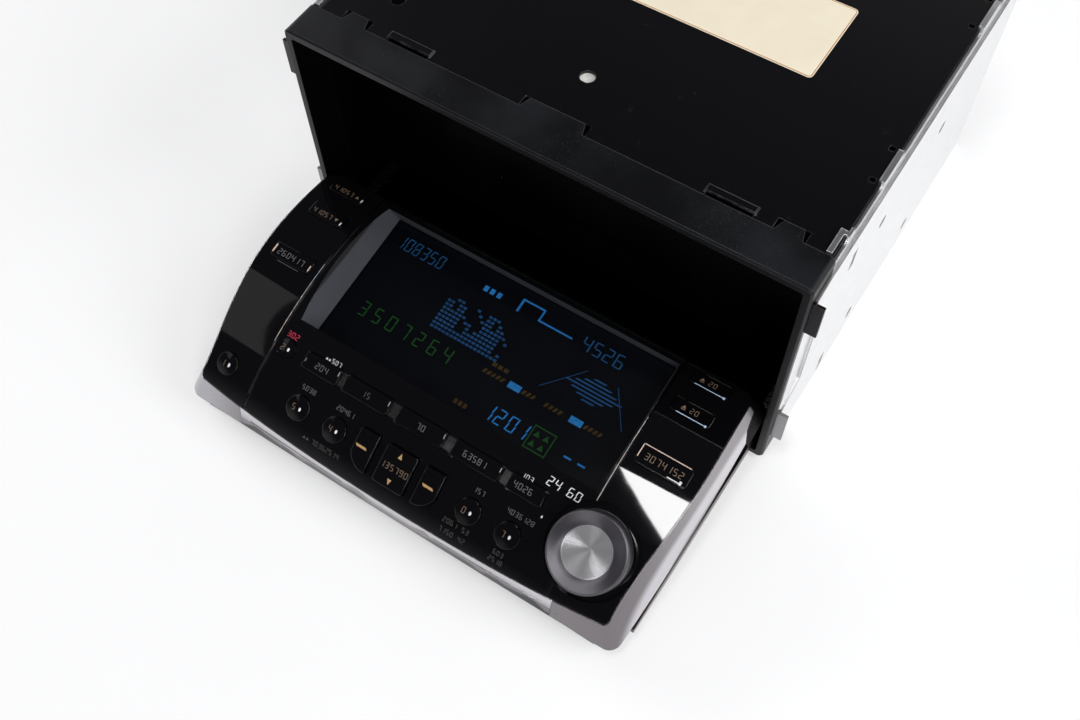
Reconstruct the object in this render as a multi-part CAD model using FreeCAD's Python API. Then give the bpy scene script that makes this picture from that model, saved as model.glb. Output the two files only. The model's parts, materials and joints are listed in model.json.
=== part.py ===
import FreeCAD, Part
import math
import os

# Car stereo head unit with a fold-down front panel, drawn with the panel open.
# Millimetres. +X is to the right, +Y runs back into the dash, +Z is up.
# The pieces are drawn with y = 0 at the front frame's face and moved at the end,
# so that the origin is the middle of the flat underside.

# Steel case
CASE_WIDTH = 178.0
CASE_BACK = 158.0
SHEET = 1.0
JOIN_GAP = 0.2
RUNNING = 0.05
COVER_DROP = 0.4
COVER_FLANGE = 8.0
COVER_HOLE_RADIUS = 2.4
COVER_HOLES = ((-1.0, 33.0), (-67.0, 29.0))
LOUVRE_PLACES = (-52.4, 56.2)
LOUVRE_LENGTH = 16.0
LOUVRE_WIDTH = 3.2
LOUVRE_RISE = 0.6
SIDE_TABS = (49.0, 118.0)
SIDE_TAB_LENGTH = 13.0
SIDE_TAB_REACH = 1.8
TAB_HOLE = 1.8
HOOK_REACH = 3.4
HOOK_BACK = 22.4
HOOK_BAND = 1.6

# Black front frame that stands in the dash opening
FRAME_HEIGHT = 98.0
FRAME_DEPTH = 13.0
FRAME_WALL = 2.7
FRAME_CORNER = 2.0
FRAME_EDGE = 0.6
SIDE_WINDOW_LOW = 20.0
SIDE_WINDOW_HEIGHT = 60.0
SIDE_WINDOW_FRONT = 2.6
CLIPS = ((-72.2, 9.4), (-1.0, 22.0), (74.7, 9.4))
CLIP_REACH = 3.8
CLIP_TAPER = 1.6
CLIP_SKIN = 1.2

# Side brackets with front ears
BRACKET_SHEET = 1.0
BRACKET_LOW = 8.0
BRACKET_TOP_DROP = 6.0
BRACKET_BACK = 150.0
BRACKET_SETBACK = 12.5
BRACKET_SLANT = 0.7
EAR_REACH = 2.6
EAR_FRONT = 2.0
LOWER_EAR = (13.5, 15.0)
UPPER_EAR = (76.0, 14.0)
BRACKET_SLOTS = ((30.0, 78.0), (35.0, 14.0))
BRACKET_SLOT_WIDTH = 3.0
BRACKET_SLOT_LENGTH = 8.0
SIDE_HOLE_RADIUS = 2.1
SIDE_HOLE_FRONT = 54.8
SIDE_HOLE_PITCH_Y = 43.6
SIDE_HOLE_LOW = 18.0
SIDE_HOLE_PITCH_Z = 50.0

# Rear of the case
REAR_TAB = 9.0
REAR_STUD_RADIUS = 2.5
REAR_STUD_LENGTH = 9.0
REAR_STUD_Z = 78.0
SINK_MARGIN = 12.0
SINK_WIDTH = 54.0
SINK_LOW = 16.0
SINK_TOP_DROP = 6.0
SINK_PLATE = 3.0
SINK_FIN_LENGTH = 9.0
SINK_FIN_THICKNESS = 1.6
SINK_FINS = 8
POWER_PLUG_WIDTH = 36.0
POWER_PLUG_HEIGHT = 15.0
POWER_PLUG_X = -45.0
POWER_PLUG_Z = 24.0
SOCKET_PROUD = 4.0
SOCKET_DEPTH = 14.0
SOCKET_WALL = 1.5
ANTENNA_X = 6.0
ANTENNA_Z = 21.0
ANTENNA_BORE = 4.15
ANTENNA_DEPTH = 16.0
ANTENNA_WALL = 1.4
JACK_RADIUS = 4.15
JACK_BORE = 1.8
JACK_PROUD = 10.0
JACK_BLOCK_DEPTH = 8.0
JACK_MARGIN = 2.0
JACK_ROWS = (38.3, 50.3)
JACK_COLUMNS = (-58.0, -44.0, -30.0)
SCREW_RADIUS = 1.5
SCREW_HEAD_RADIUS = 2.8
SCREW_HEAD_HEIGHT = 1.6
CASE_SCREW_INSET = 5.0
CASE_SCREW_LENGTH = 5.0

# Boards
BOARD_THICKNESS = 1.6
MAIN_BOARD_FRONT = 74.0
MAIN_BOARD_Z = 11.0
MAIN_BOARD_MARGIN = 10.0
STANDOFF_RADIUS = 3.0
STANDOFF_INSET = 8.0

# Inner fascia and slots
FASCIA_FRONT = 30.0
FASCIA_WALL = 1.6
LINER_WALL = 1.2
DISC_SLOT_WIDTH = 126.0
DISC_SLOT_HEIGHT = 5.0
DISC_SLOT_Z = 66.0
SLOT_LIP = 3.0
CARTRIDGE_X = 4.0
CARTRIDGE_WIDTH = 76.0
CARTRIDGE_HEIGHT = 7.0
CARTRIDGE_Z = 31.5

# Disc mechanism
DISC_FRAME_HALF = 70.0
DISC_FRAME_GAP = 3.4
DISC_FRAME_LENGTH = 115.0
DISC_FRAME_WALL = 9.0
DECK_DROP = 9.0
SIDE_FOOT_LENGTH = 20.0
DISC_FOOT_Y = 80.0
TURNTABLE_Y = 95.0
TURNTABLE_RADIUS = 13.0
TURNTABLE_PLATE = 1.6
HUB_RADIUS = 7.3
HUB_RISE = 1.8
SPINDLE_RADIUS = 1.5
BUSH_WALL = 2.5
BUSH_DROP = 3.0
PICKUP_WIDTH = 24.0
PICKUP_LENGTH = 20.0
PICKUP_TRAVEL = 31.0
LENS_RADIUS = 4.0
ROD_RADIUS = 1.5
ROD_SPREAD = 9.0
KEEPER_LENGTH = 3.0
ROLLER_RADIUS = 3.2
ROLLER_WAIST = 0.6
ROLLER_LENGTH = 116.0
ROLLER_PIVOT = 1.5

# Cartridge mechanism
CARTRIDGE_DEPTH = 76.0
HOLDER_GAP = 4.0
HOLDER_FOOT_Y = 84.0
FLAP_THICKNESS = 1.2
FLAP_PIN = 0.9
FLAP_PIN_RISE = 1.6
CHEEK_THICKNESS = 2.0

# Panel drive
PANEL_TRAVEL = 83.5
ARM_GAP = 4.4
ARM_THICKNESS = 1.4
ARM_LOW = 3.2
ARM_HEIGHT = 4.84
ARM_OVERRUN = 11.0
RACK_OVERRUN = 6.0
EAR_RADIUS = 3.4
EAR_INSET = 6.8
EAR_CLEARANCE = 0.8
ARM_SLACK = 0.3
ARM_SWEEP = 14.0
CRANK_SETBACK = 3.5
CRANK_LENGTH = 5.0
ARM_NOSE_HEIGHT = 2.6
ARM_NOSE_LENGTH = 22.0
HINGE_PIN_RADIUS = 1.5
HINGE_PIN_LENGTH = 5.9
HINGE_BOSS_WALL = 2.0
CROSSBAR_SETBACK = 16.0
CROSSBAR_DEPTH = 5.0
CROSSBAR_HEIGHT = 3.0
GUIDE_WALL = 1.8
GUIDE_LENGTH = 48.0
SHAFT_RADIUS = 2.0
SHAFT_Y = 45.0
POST_SETBACK = 3.0
POST_THICKNESS = 2.5
POST_LENGTH = 10.0
RACK_MODULE = 0.8
PINION_TEETH = 16
PINION_WIDTH = 2.4
RACK_WIDTH = 2.4
GEAR_MODULE = 0.5
GEAR_TEETH = 44
GEAR_WIDTH = 4.0
GEAR_SETBACK = 11.2
MOTOR_TEETH = 14
MOTOR_RADIUS = 9.6
MOTOR_LENGTH = 27.0
MOTOR_SHAFT = 1.0
MOTOR_SETBACK = 1.5
TOOTH_ADDENDUM = 0.8
TOOTH_DEDENDUM = 1.1
TOOTH_SLACK = 0.12
PRESSURE_ANGLE = 20.0

# Front panel: a slab with a cylindrical face, drawn upright about the crown of its face.
# Each pair is a step in from the frame's opening, first at the crown and then at the back.
SIDE_STEPS_LOW = (11.3, 1.2)
SIDE_STEPS_MIDDLE = (3.9, 0.4)
SIDE_STEPS_TOP = (5.9, 0.4)
UPPER_STEPS = (5.2, 0.4)
LOWER_STEPS = (5.3, -0.6)
LOWER_BOW = (6.2, -0.6)
LOWER_CORNERS = (1.0, 5.0)
UPPER_CORNER = 5.0
LEAST_CORNER = 0.3
CROWN_LIFT = 1.7
FACE_SAG = 9.625
FACE_CROWN = 10.0
FACE_LINE_STEP = 2.7
PANEL_BACK = 10.0
PANEL_OPEN_TILT = 14.0
PIVOT_DEPTH = 5.0
PIVOT_RISE = 7.3
FACE_SKIN = 2.2
TRIM_BACK = 7.0
TRIM_WALL = 1.6
TRIM_LIP = 0.4
SHELL_WALL = 1.5
SHELL_GAP = 0.1
CORNER_TRIM_REACH = 21.9
TRIM_END_STEPS = ((0.6, 7.1), (2.4, 12.7), (7.0, 15.5))
TRIM_GROOVE_WIDTH = 0.5
TRIM_GROOVE_DEPTH = 0.6
TRIM_GROOVE_SETBACK = 4.0
TRIM_GROOVE_INNER = 17.5
TRIM_GROOVE_INSET = 4.0
PANEL_BOARD_MARGIN = 4.4
# Panel screws: side, inset from the side, height above the crown.
PANEL_SCREW_PLACES = ((-1, 11.8, 16.2), (1, 13.4, 16.6), (-1, 19.9, -27.5), (1, 29.9, -28.0))
PANEL_SCREW_LENGTH = 9.0
PANEL_SCREW_HEAD = 1.1
SCREW_POST_RADIUS = 2.4

# Display
WINDOW_LEFT_INSET = 26.9
WINDOW_RIGHT_INSET = 25.6
WINDOW_TOP_INSET = 3.7
WINDOW_BOTTOM_INSET = 33.4
GLASS_LEFT_STEP = 3.2
GLASS_RIGHT_STEP = 1.2
GLASS_TOP_STEP = 0.2
GLASS_BOTTOM_STEP = 0.8
GLASS_SINK_TOP = 4.7
GLASS_SINK_BOTTOM = 7.2
GLASS_THICKNESS = 1.2
GLASS_LAND = 0.5
FUNNEL_WALL = 2.0
DISPLAY_THICKNESS = 2.8

# Keys. Cheek keys: side, inset from the side, inset from the face's top, width, height.
KEY_GAP = 0.25
KEY_CORNER = 0.8
KEY_PROUD = 0.5
KEY_DEPTH = 3.2
KEY_FLANGE = 0.9
KEY_TRAVEL = 0.6
MAT_THICKNESS = 1.0
CARRIER_THICKNESS = 1.5
ZONE_MARGIN = 0.5
CHEEK_KEYS = {
    "angle_up_key": (-1, 11.5, 5.6, 13.4, 5.0),
    "angle_down_key": (-1, 11.8, 17.2, 13.6, 5.0),
    "change_key": (-1, 11.8, 36.6, 15.6, 5.2),
    "disc_eject_key": (1, 13.8, 5.2, 12.8, 5.0),
    "cartridge_eject_key": (1, 13.8, 16.8, 13.4, 5.0),
    "enter_key": (1, 12.4, 36.3, 17.6, 6.0),
}
# Row keys: left and right end. Round keys: centre.
ROW_INSET = 23.3
ROW_HEIGHT = 5.6
ROW_SPANS = ((-47.3, -33.4), (-31.0, -13.4), (-10.1, 7.6), (10.9, 28.6), (31.6, 44.0))
ROUND_KEY_RADIUS = 4.2
ROUND_INSET = 8.4
ROUND_KEYS = (-41.3, -26.6, 24.9, 39.3)
TIMER_RADIUS = 3.8
TIMER_SIDE_INSET = 11.4
TIMER_INSET = 8.8
RECORD_RADIUS = 3.2
RECORD_X = -54.6
RECORD_INSET = 23.0
SELECT_X = -2.0
SELECT_INSET = 8.0
SELECT_PROUD = 1.6
SELECT_HALF_HEIGHT = 6.4
ROCKER_HALF = 5.6
SELECT_DIVIDER = 3.4
SELECT_SIDE_WIDTH = 7.0
SELECT_SHOULDER = 4.6
SELECT_CORNER = 6.5
KNOB_SIDE_INSET = 18.2
KNOB_INSET = 17.5
KNOB_RADIUS = 12.6
KNOB_HEIGHT = 7.0
KNOB_LIFT = 0.4
KNOB_RIM = 0.7
KNOB_DISH_RADIUS = 8.6
KNOB_DISH_DEPTH = 1.4
KNOB_SHAFT_RADIUS = 3.0
MOAT_REACH = 2.4
MOAT_DEPTH = 1.0
BUSH_RADIUS = 4.6
BUSH_PROUD = 2.6
ENCODER_SIDE = 12.0
ENCODER_SINK = 6.0
SEAM_WIDTH = 0.6
SEAM_DEPTH = 0.7
SEAM_LEFT_STEP = 4.0
SEAM_RIGHT_STEP = 1.3

# Worked out from the sizes above
COVER_TOP = FRAME_HEIGHT - COVER_DROP
COVER_LOW = COVER_TOP - SHEET
CASE_HALF = CASE_WIDTH / 2
INNER_HALF = CASE_HALF - SHEET
FLOOR_FRONT = FRAME_DEPTH + JOIN_GAP
REAR_BACK = CASE_BACK - JOIN_GAP
REAR_FRONT = REAR_BACK - SHEET
UNDERSIDE_MIDDLE = (FLOOR_FRONT + CASE_BACK) / 2
FASCIA_BACK = FASCIA_FRONT + FASCIA_WALL
OPENING_HALF = CASE_HALF - FRAME_WALL
OPENING_TOP = FRAME_HEIGHT - FRAME_WALL
SINK_RIGHT = INNER_HALF - SINK_MARGIN
SINK_HIGH = FRAME_HEIGHT - SINK_TOP_DROP
MAIN_BOARD_HALF = INNER_HALF - MAIN_BOARD_MARGIN
CASE_SCREW_X = INNER_HALF - CASE_SCREW_INSET
CASE_SCREW_ROWS = (SHEET + REAR_TAB, COVER_LOW - REAR_TAB)

ARM_OUTER = CASE_HALF - ARM_GAP
ARM_INNER = ARM_OUTER - ARM_THICKNESS
RACK_INNER = ARM_INNER - RACK_WIDTH
PINION_OUTER = ARM_INNER - JOIN_GAP
EAR_OUTER = ARM_OUTER - EAR_INSET
EAR_INNER = EAR_OUTER - ARM_THICKNESS
ARM_TOP = ARM_LOW + ARM_HEIGHT
RACK_LINE = ARM_TOP - RACK_MODULE * TOOTH_ADDENDUM
PINION_RADIUS = RACK_MODULE * PINION_TEETH / 2
GEAR_RADIUS = GEAR_MODULE * GEAR_TEETH / 2
MOTOR_PINION_RADIUS = GEAR_MODULE * MOTOR_TEETH / 2
SHAFT_Z = RACK_LINE + PINION_RADIUS
MOTOR_Y = SHAFT_Y + GEAR_RADIUS + MOTOR_PINION_RADIUS
GEAR_X = ARM_INNER - GEAR_SETBACK - GEAR_WIDTH
FASCIA_LOW = ARM_TOP + ARM_THICKNESS

DISC_FRAME_FRONT = FASCIA_BACK + DISC_FRAME_GAP
DECK_Z = DISC_SLOT_Z - DECK_DROP
DECK_TOP = DECK_Z + SHEET
ROD_Z = DECK_Z - ROD_RADIUS - SHEET
ROLLER_Y = DISC_FRAME_FRONT + ROLLER_RADIUS + ROLLER_PIVOT
ROLLER_Z = DISC_SLOT_Z - ROLLER_RADIUS
PICKUP_X = -TURNTABLE_RADIUS - SHEET - PICKUP_LENGTH / 2
HOLDER_FRONT = FASCIA_BACK + HOLDER_GAP
HOLDER_HALF = CARTRIDGE_WIDTH / 2 + SHEET
CARTRIDGE_LOW = CARTRIDGE_Z - CARTRIDGE_HEIGHT / 2
CARTRIDGE_HIGH = CARTRIDGE_Z + CARTRIDGE_HEIGHT / 2
FLAP_PIN_Y = FASCIA_BACK + 1.5 * FLAP_PIN
FLAP_PIN_Z = CARTRIDGE_HIGH + FLAP_PIN_RISE

CROWN_Z = FRAME_HEIGHT / 2 + CROWN_LIFT
PANEL_HIGH = OPENING_TOP - CROWN_Z - UPPER_STEPS[1]
FACE_RADIUS = (PANEL_HIGH ** 2 + FACE_SAG ** 2) / (2 * FACE_SAG)
FACE_CENTRE = FACE_RADIUS - FACE_CROWN
FACE_HALF_WIDTH = OPENING_HALF - SIDE_STEPS_MIDDLE[0]
FACE_EDGE = FACE_RADIUS * math.asin((OPENING_TOP - CROWN_Z - FACE_LINE_STEP) / FACE_RADIUS)
LOWER_TRIM_HALF = FACE_HALF_WIDTH - CORNER_TRIM_REACH
PIVOT_Z = FRAME_WALL + PIVOT_RISE
PIVOT_DROP = CROWN_Z - PIVOT_Z
PIVOT_OPEN_Y = PIVOT_DEPTH - PANEL_TRAVEL
HINGE_PIN_INNER = EAR_OUTER - HINGE_PIN_LENGTH
BOARD_BACK = PANEL_BACK - SHELL_WALL - SHELL_GAP
BOARD_FRONT = BOARD_BACK - BOARD_THICKNESS
WINDOW_LEFT = WINDOW_LEFT_INSET - FACE_HALF_WIDTH
WINDOW_RIGHT = FACE_HALF_WIDTH - WINDOW_RIGHT_INSET
WINDOW_TOP = FACE_EDGE - WINDOW_TOP_INSET
WINDOW_BOTTOM = WINDOW_BOTTOM_INSET - FACE_EDGE
KNOB_X = FACE_HALF_WIDTH - KNOB_SIDE_INSET
KNOB_PLACE = KNOB_INSET - FACE_EDGE
ROW_PLACE = ROW_INSET - FACE_EDGE
ROUND_PLACE = ROUND_INSET - FACE_EDGE
SELECT_PLACE = SELECT_INSET - FACE_EDGE
SEAMS = (WINDOW_LEFT - SEAM_LEFT_STEP, WINDOW_RIGHT + SEAM_RIGHT_STEP)
PANEL_SCREWS = [(side * (FACE_HALF_WIDTH - inset), z) for side, inset, z in PANEL_SCREW_PLACES]
FAR = 2 * CASE_WIDTH

V = FreeCAD.Vector
X_AXIS = V(1, 0, 0)
Y_AXIS = V(0, 1, 0)
Z_AXIS = V(0, 0, 1)


# Small solids

def block(x0, x1, y0, y1, z0, z1):
    return Part.makeBox(x1 - x0, y1 - y0, z1 - z0, V(x0, y0, z0))


def rod_x(x0, x1, y, z, radius):
    return Part.makeCylinder(radius, x1 - x0, V(x0, y, z), X_AXIS)


def rod_y(x, y0, y1, z, radius):
    return Part.makeCylinder(radius, y1 - y0, V(x, y0, z), Y_AXIS)


def rod_z(x, y, z0, z1, radius):
    return Part.makeCylinder(radius, z1 - z0, V(x, y, z0), Z_AXIS)


def prism_x(points, x0, x1):
    corners = [V(x0, y, z) for y, z in points]
    return Part.Face(Part.makePolygon(corners + corners[:1])).extrude(V(x1 - x0, 0, 0))


def prism_z(points, z0, z1):
    corners = [V(x, y, z0) for x, y in points]
    return Part.Face(Part.makePolygon(corners + corners[:1])).extrude(V(0, 0, z1 - z0))


def rounded_plate(x0, x1, z0, z1, radius, y0, y1):
    plate = block(x0, x1, y0, y1, z0, z1)
    along_y = [e for e in plate.Edges if abs(e.tangentAt(e.FirstParameter).y) > 0.9]
    return plate.makeFillet(radius, along_y)


def joined(solids):
    return solids[0].multiFuse(solids[1:]).removeSplitter()


def mirrored(shape):
    return shape.mirror(V(0, 0, 0), X_AXIS)


def both_sides(shape):
    return [shape, mirrored(shape)]


# Steel case

def side_wall():
    """Right-hand wall with its tongue, its two tabs and the hook at the front corner."""
    wall_top = COVER_LOW - JOIN_GAP
    tab_top = COVER_TOP + SHEET
    wall = block(INNER_HALF, CASE_HALF, FLOOR_FRONT, CASE_BACK, 0, wall_top)
    tongue = block(INNER_HALF, CASE_HALF, SIDE_WINDOW_FRONT + JOIN_GAP, FLOOR_FRONT,
                   SIDE_WINDOW_LOW + JOIN_GAP, SIDE_WINDOW_LOW + SIDE_WINDOW_HEIGHT - JOIN_GAP)
    pieces = [wall, tongue]
    for middle in SIDE_TABS:
        front = middle - SIDE_TAB_LENGTH / 2
        back = middle + SIDE_TAB_LENGTH / 2
        pieces.append(block(INNER_HALF, CASE_HALF, front, back, wall_top, tab_top))
        pieces.append(block(CASE_HALF - SIDE_TAB_REACH, CASE_HALF, front, back, COVER_TOP, tab_top))
    hook_left = CASE_HALF - HOOK_REACH
    pieces.append(block(INNER_HALF, CASE_HALF, HOOK_BACK - HOOK_BAND, HOOK_BACK + HOOK_BAND, wall_top,
                        tab_top))
    pieces.append(block(hook_left, CASE_HALF, HOOK_BACK - HOOK_BAND, HOOK_BACK, COVER_TOP, tab_top))
    pieces.append(block(hook_left, hook_left + HOOK_BAND, FLOOR_FRONT + JOIN_GAP, HOOK_BACK, COVER_TOP,
                        tab_top))
    return joined(pieces)


def side_hole_drills():
    return [rod_x(-FAR, 2 * FAR, SIDE_HOLE_FRONT + dy, SIDE_HOLE_LOW + dz, SIDE_HOLE_RADIUS)
            for dy in (0, SIDE_HOLE_PITCH_Y)
            for dz in (0, SIDE_HOLE_PITCH_Z)]


def standoffs():
    x = MAIN_BOARD_HALF - STANDOFF_INSET
    return [rod_z(side * x, y, SHEET / 2, MAIN_BOARD_Z, STANDOFF_RADIUS)
            for side in (-1, 1)
            for y in (MAIN_BOARD_FRONT + STANDOFF_INSET, REAR_FRONT - 2 * STANDOFF_INSET)]


def arm_guide():
    """Channel on the floor that holds the right-hand arm, open at the top."""
    front = PIVOT_DEPTH + CROSSBAR_SETBACK + CROSSBAR_DEPTH
    rail = block(RACK_INNER - GUIDE_WALL, ARM_OUTER + GUIDE_WALL, front, front + GUIDE_LENGTH,
                 SHEET / 2, ARM_LOW + ARM_HEIGHT / 2)
    groove = block(RACK_INNER - JOIN_GAP, ARM_OUTER + JOIN_GAP, -FAR, FAR, ARM_LOW - JOIN_GAP, FAR)
    return rail.cut(groove)


def shaft_post():
    """Upright of the right-hand side that carries the drive shaft."""
    right = RACK_INNER - POST_SETBACK
    post = block(right - POST_THICKNESS, right, SHAFT_Y - POST_LENGTH / 2, SHAFT_Y + POST_LENGTH / 2,
                 SHEET / 2, SHAFT_Z + POST_LENGTH / 2)
    return post.cut(rod_x(0, CASE_HALF, SHAFT_Y, SHAFT_Z, SHAFT_RADIUS + RUNNING))


def rear_tabs():
    """Small flanges of the right-hand wall that take the case screws."""
    return [block(INNER_HALF - REAR_TAB, INNER_HALF, REAR_FRONT - SHEET, REAR_FRONT,
                  z - REAR_TAB / 2, z + REAR_TAB / 2) for z in CASE_SCREW_ROWS]


def case_screw_places():
    return [(side * CASE_SCREW_X, z) for side in (-1, 1) for z in CASE_SCREW_ROWS]


def chassis_tray():
    pieces = [block(-CASE_HALF, CASE_HALF, FLOOR_FRONT, CASE_BACK, 0, SHEET)]
    for solid in [side_wall(), arm_guide(), shaft_post()] + rear_tabs():
        pieces += both_sides(solid)
    holes = side_hole_drills()
    holes += [rod_y(x, REAR_FRONT - 2 * SHEET, FAR, z, SCREW_RADIUS) for x, z in case_screw_places()]
    return joined(pieces + standoffs()).cut(holes)


def clip_notches():
    """Room at the cover's front edge for the frame's clips."""
    back = FLOOR_FRONT + CLIP_REACH + JOIN_GAP
    return [block(x - width / 2 - JOIN_GAP, x + width / 2 + JOIN_GAP, 0, back, 0, FAR) for x, width in CLIPS]


def tab_holes():
    """Small square holes in the cover at both ends of each side tab."""
    right = CASE_HALF - SIDE_TAB_REACH - TAB_HOLE / 2
    holes = []
    for middle in SIDE_TABS:
        for y in (middle - SIDE_TAB_LENGTH / 2, middle + SIDE_TAB_LENGTH / 2):
            holes += both_sides(block(right - TAB_HOLE, right, y - TAB_HOLE / 2, y + TAB_HOLE / 2, 0, FAR))
    return holes


def louvre(x):
    """Raised slot pressed up from the cover, and its mouth, which is open towards the front."""
    front = FLOOR_FRONT + SHEET
    half = LOUVRE_LENGTH / 2
    top = COVER_TOP + LOUVRE_RISE
    hump = block(x - half, x + half, front, front + LOUVRE_WIDTH, COVER_LOW, top)
    upper = [e for e in hump.Edges if min(v.Z for v in e.Vertexes) > COVER_TOP]
    hump = hump.makeChamfer(LOUVRE_RISE * 0.9, upper)
    mouth = block(x - half + LOUVRE_RISE, x + half - LOUVRE_RISE, front - 1,
                  front + LOUVRE_WIDTH - LOUVRE_RISE,
                  COVER_LOW - 1, COVER_TOP + LOUVRE_RISE / 3)
    return hump, mouth


def top_cover():
    half = INNER_HALF - JOIN_GAP
    back = REAR_FRONT - JOIN_GAP
    plate = block(-half, half, FLOOR_FRONT, REAR_BACK, COVER_LOW, COVER_TOP)
    flange = block(half - SHEET, half, FASCIA_BACK + JOIN_GAP, back - REAR_TAB, COVER_LOW - COVER_FLANGE,
                   COVER_LOW)
    louvres = [louvre(x) for x in LOUVRE_PLACES]
    cover = joined([plate] + both_sides(flange) + [hump for hump, mouth in louvres])
    drills = [rod_z(x, y, COVER_LOW - 1, COVER_TOP + 1, COVER_HOLE_RADIUS) for x, y in COVER_HOLES]
    return cover.cut([mouth for hump, mouth in louvres] + drills + clip_notches() + tab_holes())


# Front frame

def front_frame():
    outer = rounded_plate(-CASE_HALF, CASE_HALF, 0, FRAME_HEIGHT, FRAME_CORNER, 0, FRAME_DEPTH)
    front_edges = [e for e in outer.Edges if max(v.Y for v in e.Vertexes) < FRAME_EDGE / 2]
    outer = outer.makeChamfer(FRAME_EDGE, front_edges)
    opening = rounded_plate(-OPENING_HALF, OPENING_HALF, FRAME_WALL, OPENING_TOP, FRAME_CORNER / 2,
                            -1, FRAME_DEPTH + 1)
    window = block(INNER_HALF - JOIN_GAP, CASE_HALF + 1, SIDE_WINDOW_FRONT, FRAME_DEPTH + 1,
                   SIDE_WINDOW_LOW, SIDE_WINDOW_LOW + SIDE_WINDOW_HEIGHT)
    clips = []
    for x, width in CLIPS:
        half = width / 2
        back = FLOOR_FRONT + CLIP_REACH
        corners = [(x - half, FRAME_DEPTH - 1), (x + half, FRAME_DEPTH - 1), (x + half - CLIP_TAPER, back),
                   (x - half + CLIP_TAPER, back)]
        clips.append(prism_z(corners, FRAME_HEIGHT - CLIP_SKIN, FRAME_HEIGHT))
    return joined([outer.cut([opening] + both_sides(window))] + clips)


# Side brackets

def side_bracket():
    """Right-hand bracket: a plate on the case's side with two ears at its front."""
    high = FRAME_HEIGHT - BRACKET_TOP_DROP
    run = (BRACKET_SETBACK - EAR_FRONT) * BRACKET_SLANT
    lower_foot, lower_length = LOWER_EAR
    upper_foot, upper_length = UPPER_EAR
    lower_head = lower_foot + lower_length
    upper_head = upper_foot + upper_length
    outline = [
        (EAR_FRONT, upper_head), (EAR_FRONT, upper_foot), (BRACKET_SETBACK, upper_foot - run),
        (BRACKET_SETBACK, lower_head + run), (EAR_FRONT, lower_head), (EAR_FRONT, lower_foot),
        (BRACKET_SETBACK, BRACKET_LOW), (BRACKET_BACK, BRACKET_LOW), (BRACKET_BACK, high),
        (BRACKET_SETBACK, high),
    ]
    outside = CASE_HALF + BRACKET_SHEET
    pieces = [prism_x(outline, CASE_HALF, outside)]
    for foot, length in (LOWER_EAR, UPPER_EAR):
        pieces.append(block(CASE_HALF, outside + EAR_REACH, EAR_FRONT, EAR_FRONT + BRACKET_SHEET,
                            foot, foot + length))
    slots = [block(CASE_HALF - 1, outside + 1, y - BRACKET_SLOT_WIDTH / 2, y + BRACKET_SLOT_WIDTH / 2,
                   z - BRACKET_SLOT_LENGTH / 2, z + BRACKET_SLOT_LENGTH / 2) for y, z in BRACKET_SLOTS]
    return joined(pieces).cut(slots + side_hole_drills())


# Rear of the case

def rear_openings():
    half_w = POWER_PLUG_WIDTH / 2
    half_h = POWER_PLUG_HEIGHT / 2
    sink = block(SINK_RIGHT - SINK_WIDTH - JOIN_GAP, SINK_RIGHT + JOIN_GAP, 0, FAR, SINK_LOW - JOIN_GAP,
                 SINK_HIGH + JOIN_GAP)
    plug = block(POWER_PLUG_X - half_w, POWER_PLUG_X + half_w, 0, FAR, POWER_PLUG_Z - half_h,
                 POWER_PLUG_Z + half_h)
    antenna = rod_y(ANTENNA_X, 0, FAR, ANTENNA_Z, ANTENNA_BORE + ANTENNA_WALL)
    jacks = [rod_y(x, 0, FAR, z, JACK_RADIUS) for x in JACK_COLUMNS for z in JACK_ROWS]
    screws = [rod_y(x, 0, FAR, z, SCREW_RADIUS) for x, z in case_screw_places()]
    return [sink, plug, antenna] + jacks + screws


def rear_panel():
    """Plate between the side walls, with the threaded stud that steadies the unit in the dash."""
    plate = block(-INNER_HALF, INNER_HALF, REAR_FRONT, REAR_BACK, SHEET, COVER_LOW)
    stud = rod_y(0, REAR_FRONT, REAR_BACK + REAR_STUD_LENGTH, REAR_STUD_Z, REAR_STUD_RADIUS)
    return joined([plate.cut(rear_openings()), stud])


def heat_sink():
    left = SINK_RIGHT - SINK_WIDTH
    pitch = (SINK_WIDTH - SINK_FIN_THICKNESS) / (SINK_FINS - 1)
    back = REAR_FRONT + SINK_PLATE
    pieces = [block(left, SINK_RIGHT, REAR_FRONT, back, SINK_LOW, SINK_HIGH)]
    for number in range(SINK_FINS):
        x = left + number * pitch
        pieces.append(block(x, x + SINK_FIN_THICKNESS, REAR_FRONT, back + SINK_FIN_LENGTH, SINK_LOW,
                            SINK_HIGH))
    return joined(pieces)


def power_socket():
    half_w = POWER_PLUG_WIDTH / 2
    half_h = POWER_PLUG_HEIGHT / 2
    left = POWER_PLUG_X - half_w
    right = POWER_PLUG_X + half_w
    low = POWER_PLUG_Z - half_h
    high = POWER_PLUG_Z + half_h
    back = CASE_BACK + SOCKET_PROUD
    front = back - SOCKET_DEPTH - SOCKET_WALL
    body = block(left, right, front, back, low, high)
    hollow = block(left + SOCKET_WALL, right - SOCKET_WALL, back - SOCKET_DEPTH, back + 1,
                   low + SOCKET_WALL, high - SOCKET_WALL)
    foot = block(left, right, front, REAR_FRONT - SHEET, MAIN_BOARD_Z + BOARD_THICKNESS, low + SOCKET_WALL)
    return joined([body.cut(hollow), foot])


def antenna_socket():
    outer = ANTENNA_BORE + ANTENNA_WALL
    back = CASE_BACK + SOCKET_PROUD
    front = back - ANTENNA_DEPTH - ANTENNA_WALL
    barrel = rod_y(ANTENNA_X, front, back, ANTENNA_Z, outer)
    foot = block(ANTENNA_X - outer, ANTENNA_X + outer, front, REAR_FRONT - SHEET,
                 MAIN_BOARD_Z + BOARD_THICKNESS, ANTENNA_Z)
    return joined([barrel, foot]).cut(rod_y(ANTENNA_X, back - ANTENNA_DEPTH, back + 1, ANTENNA_Z,
                                            ANTENNA_BORE))


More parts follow.
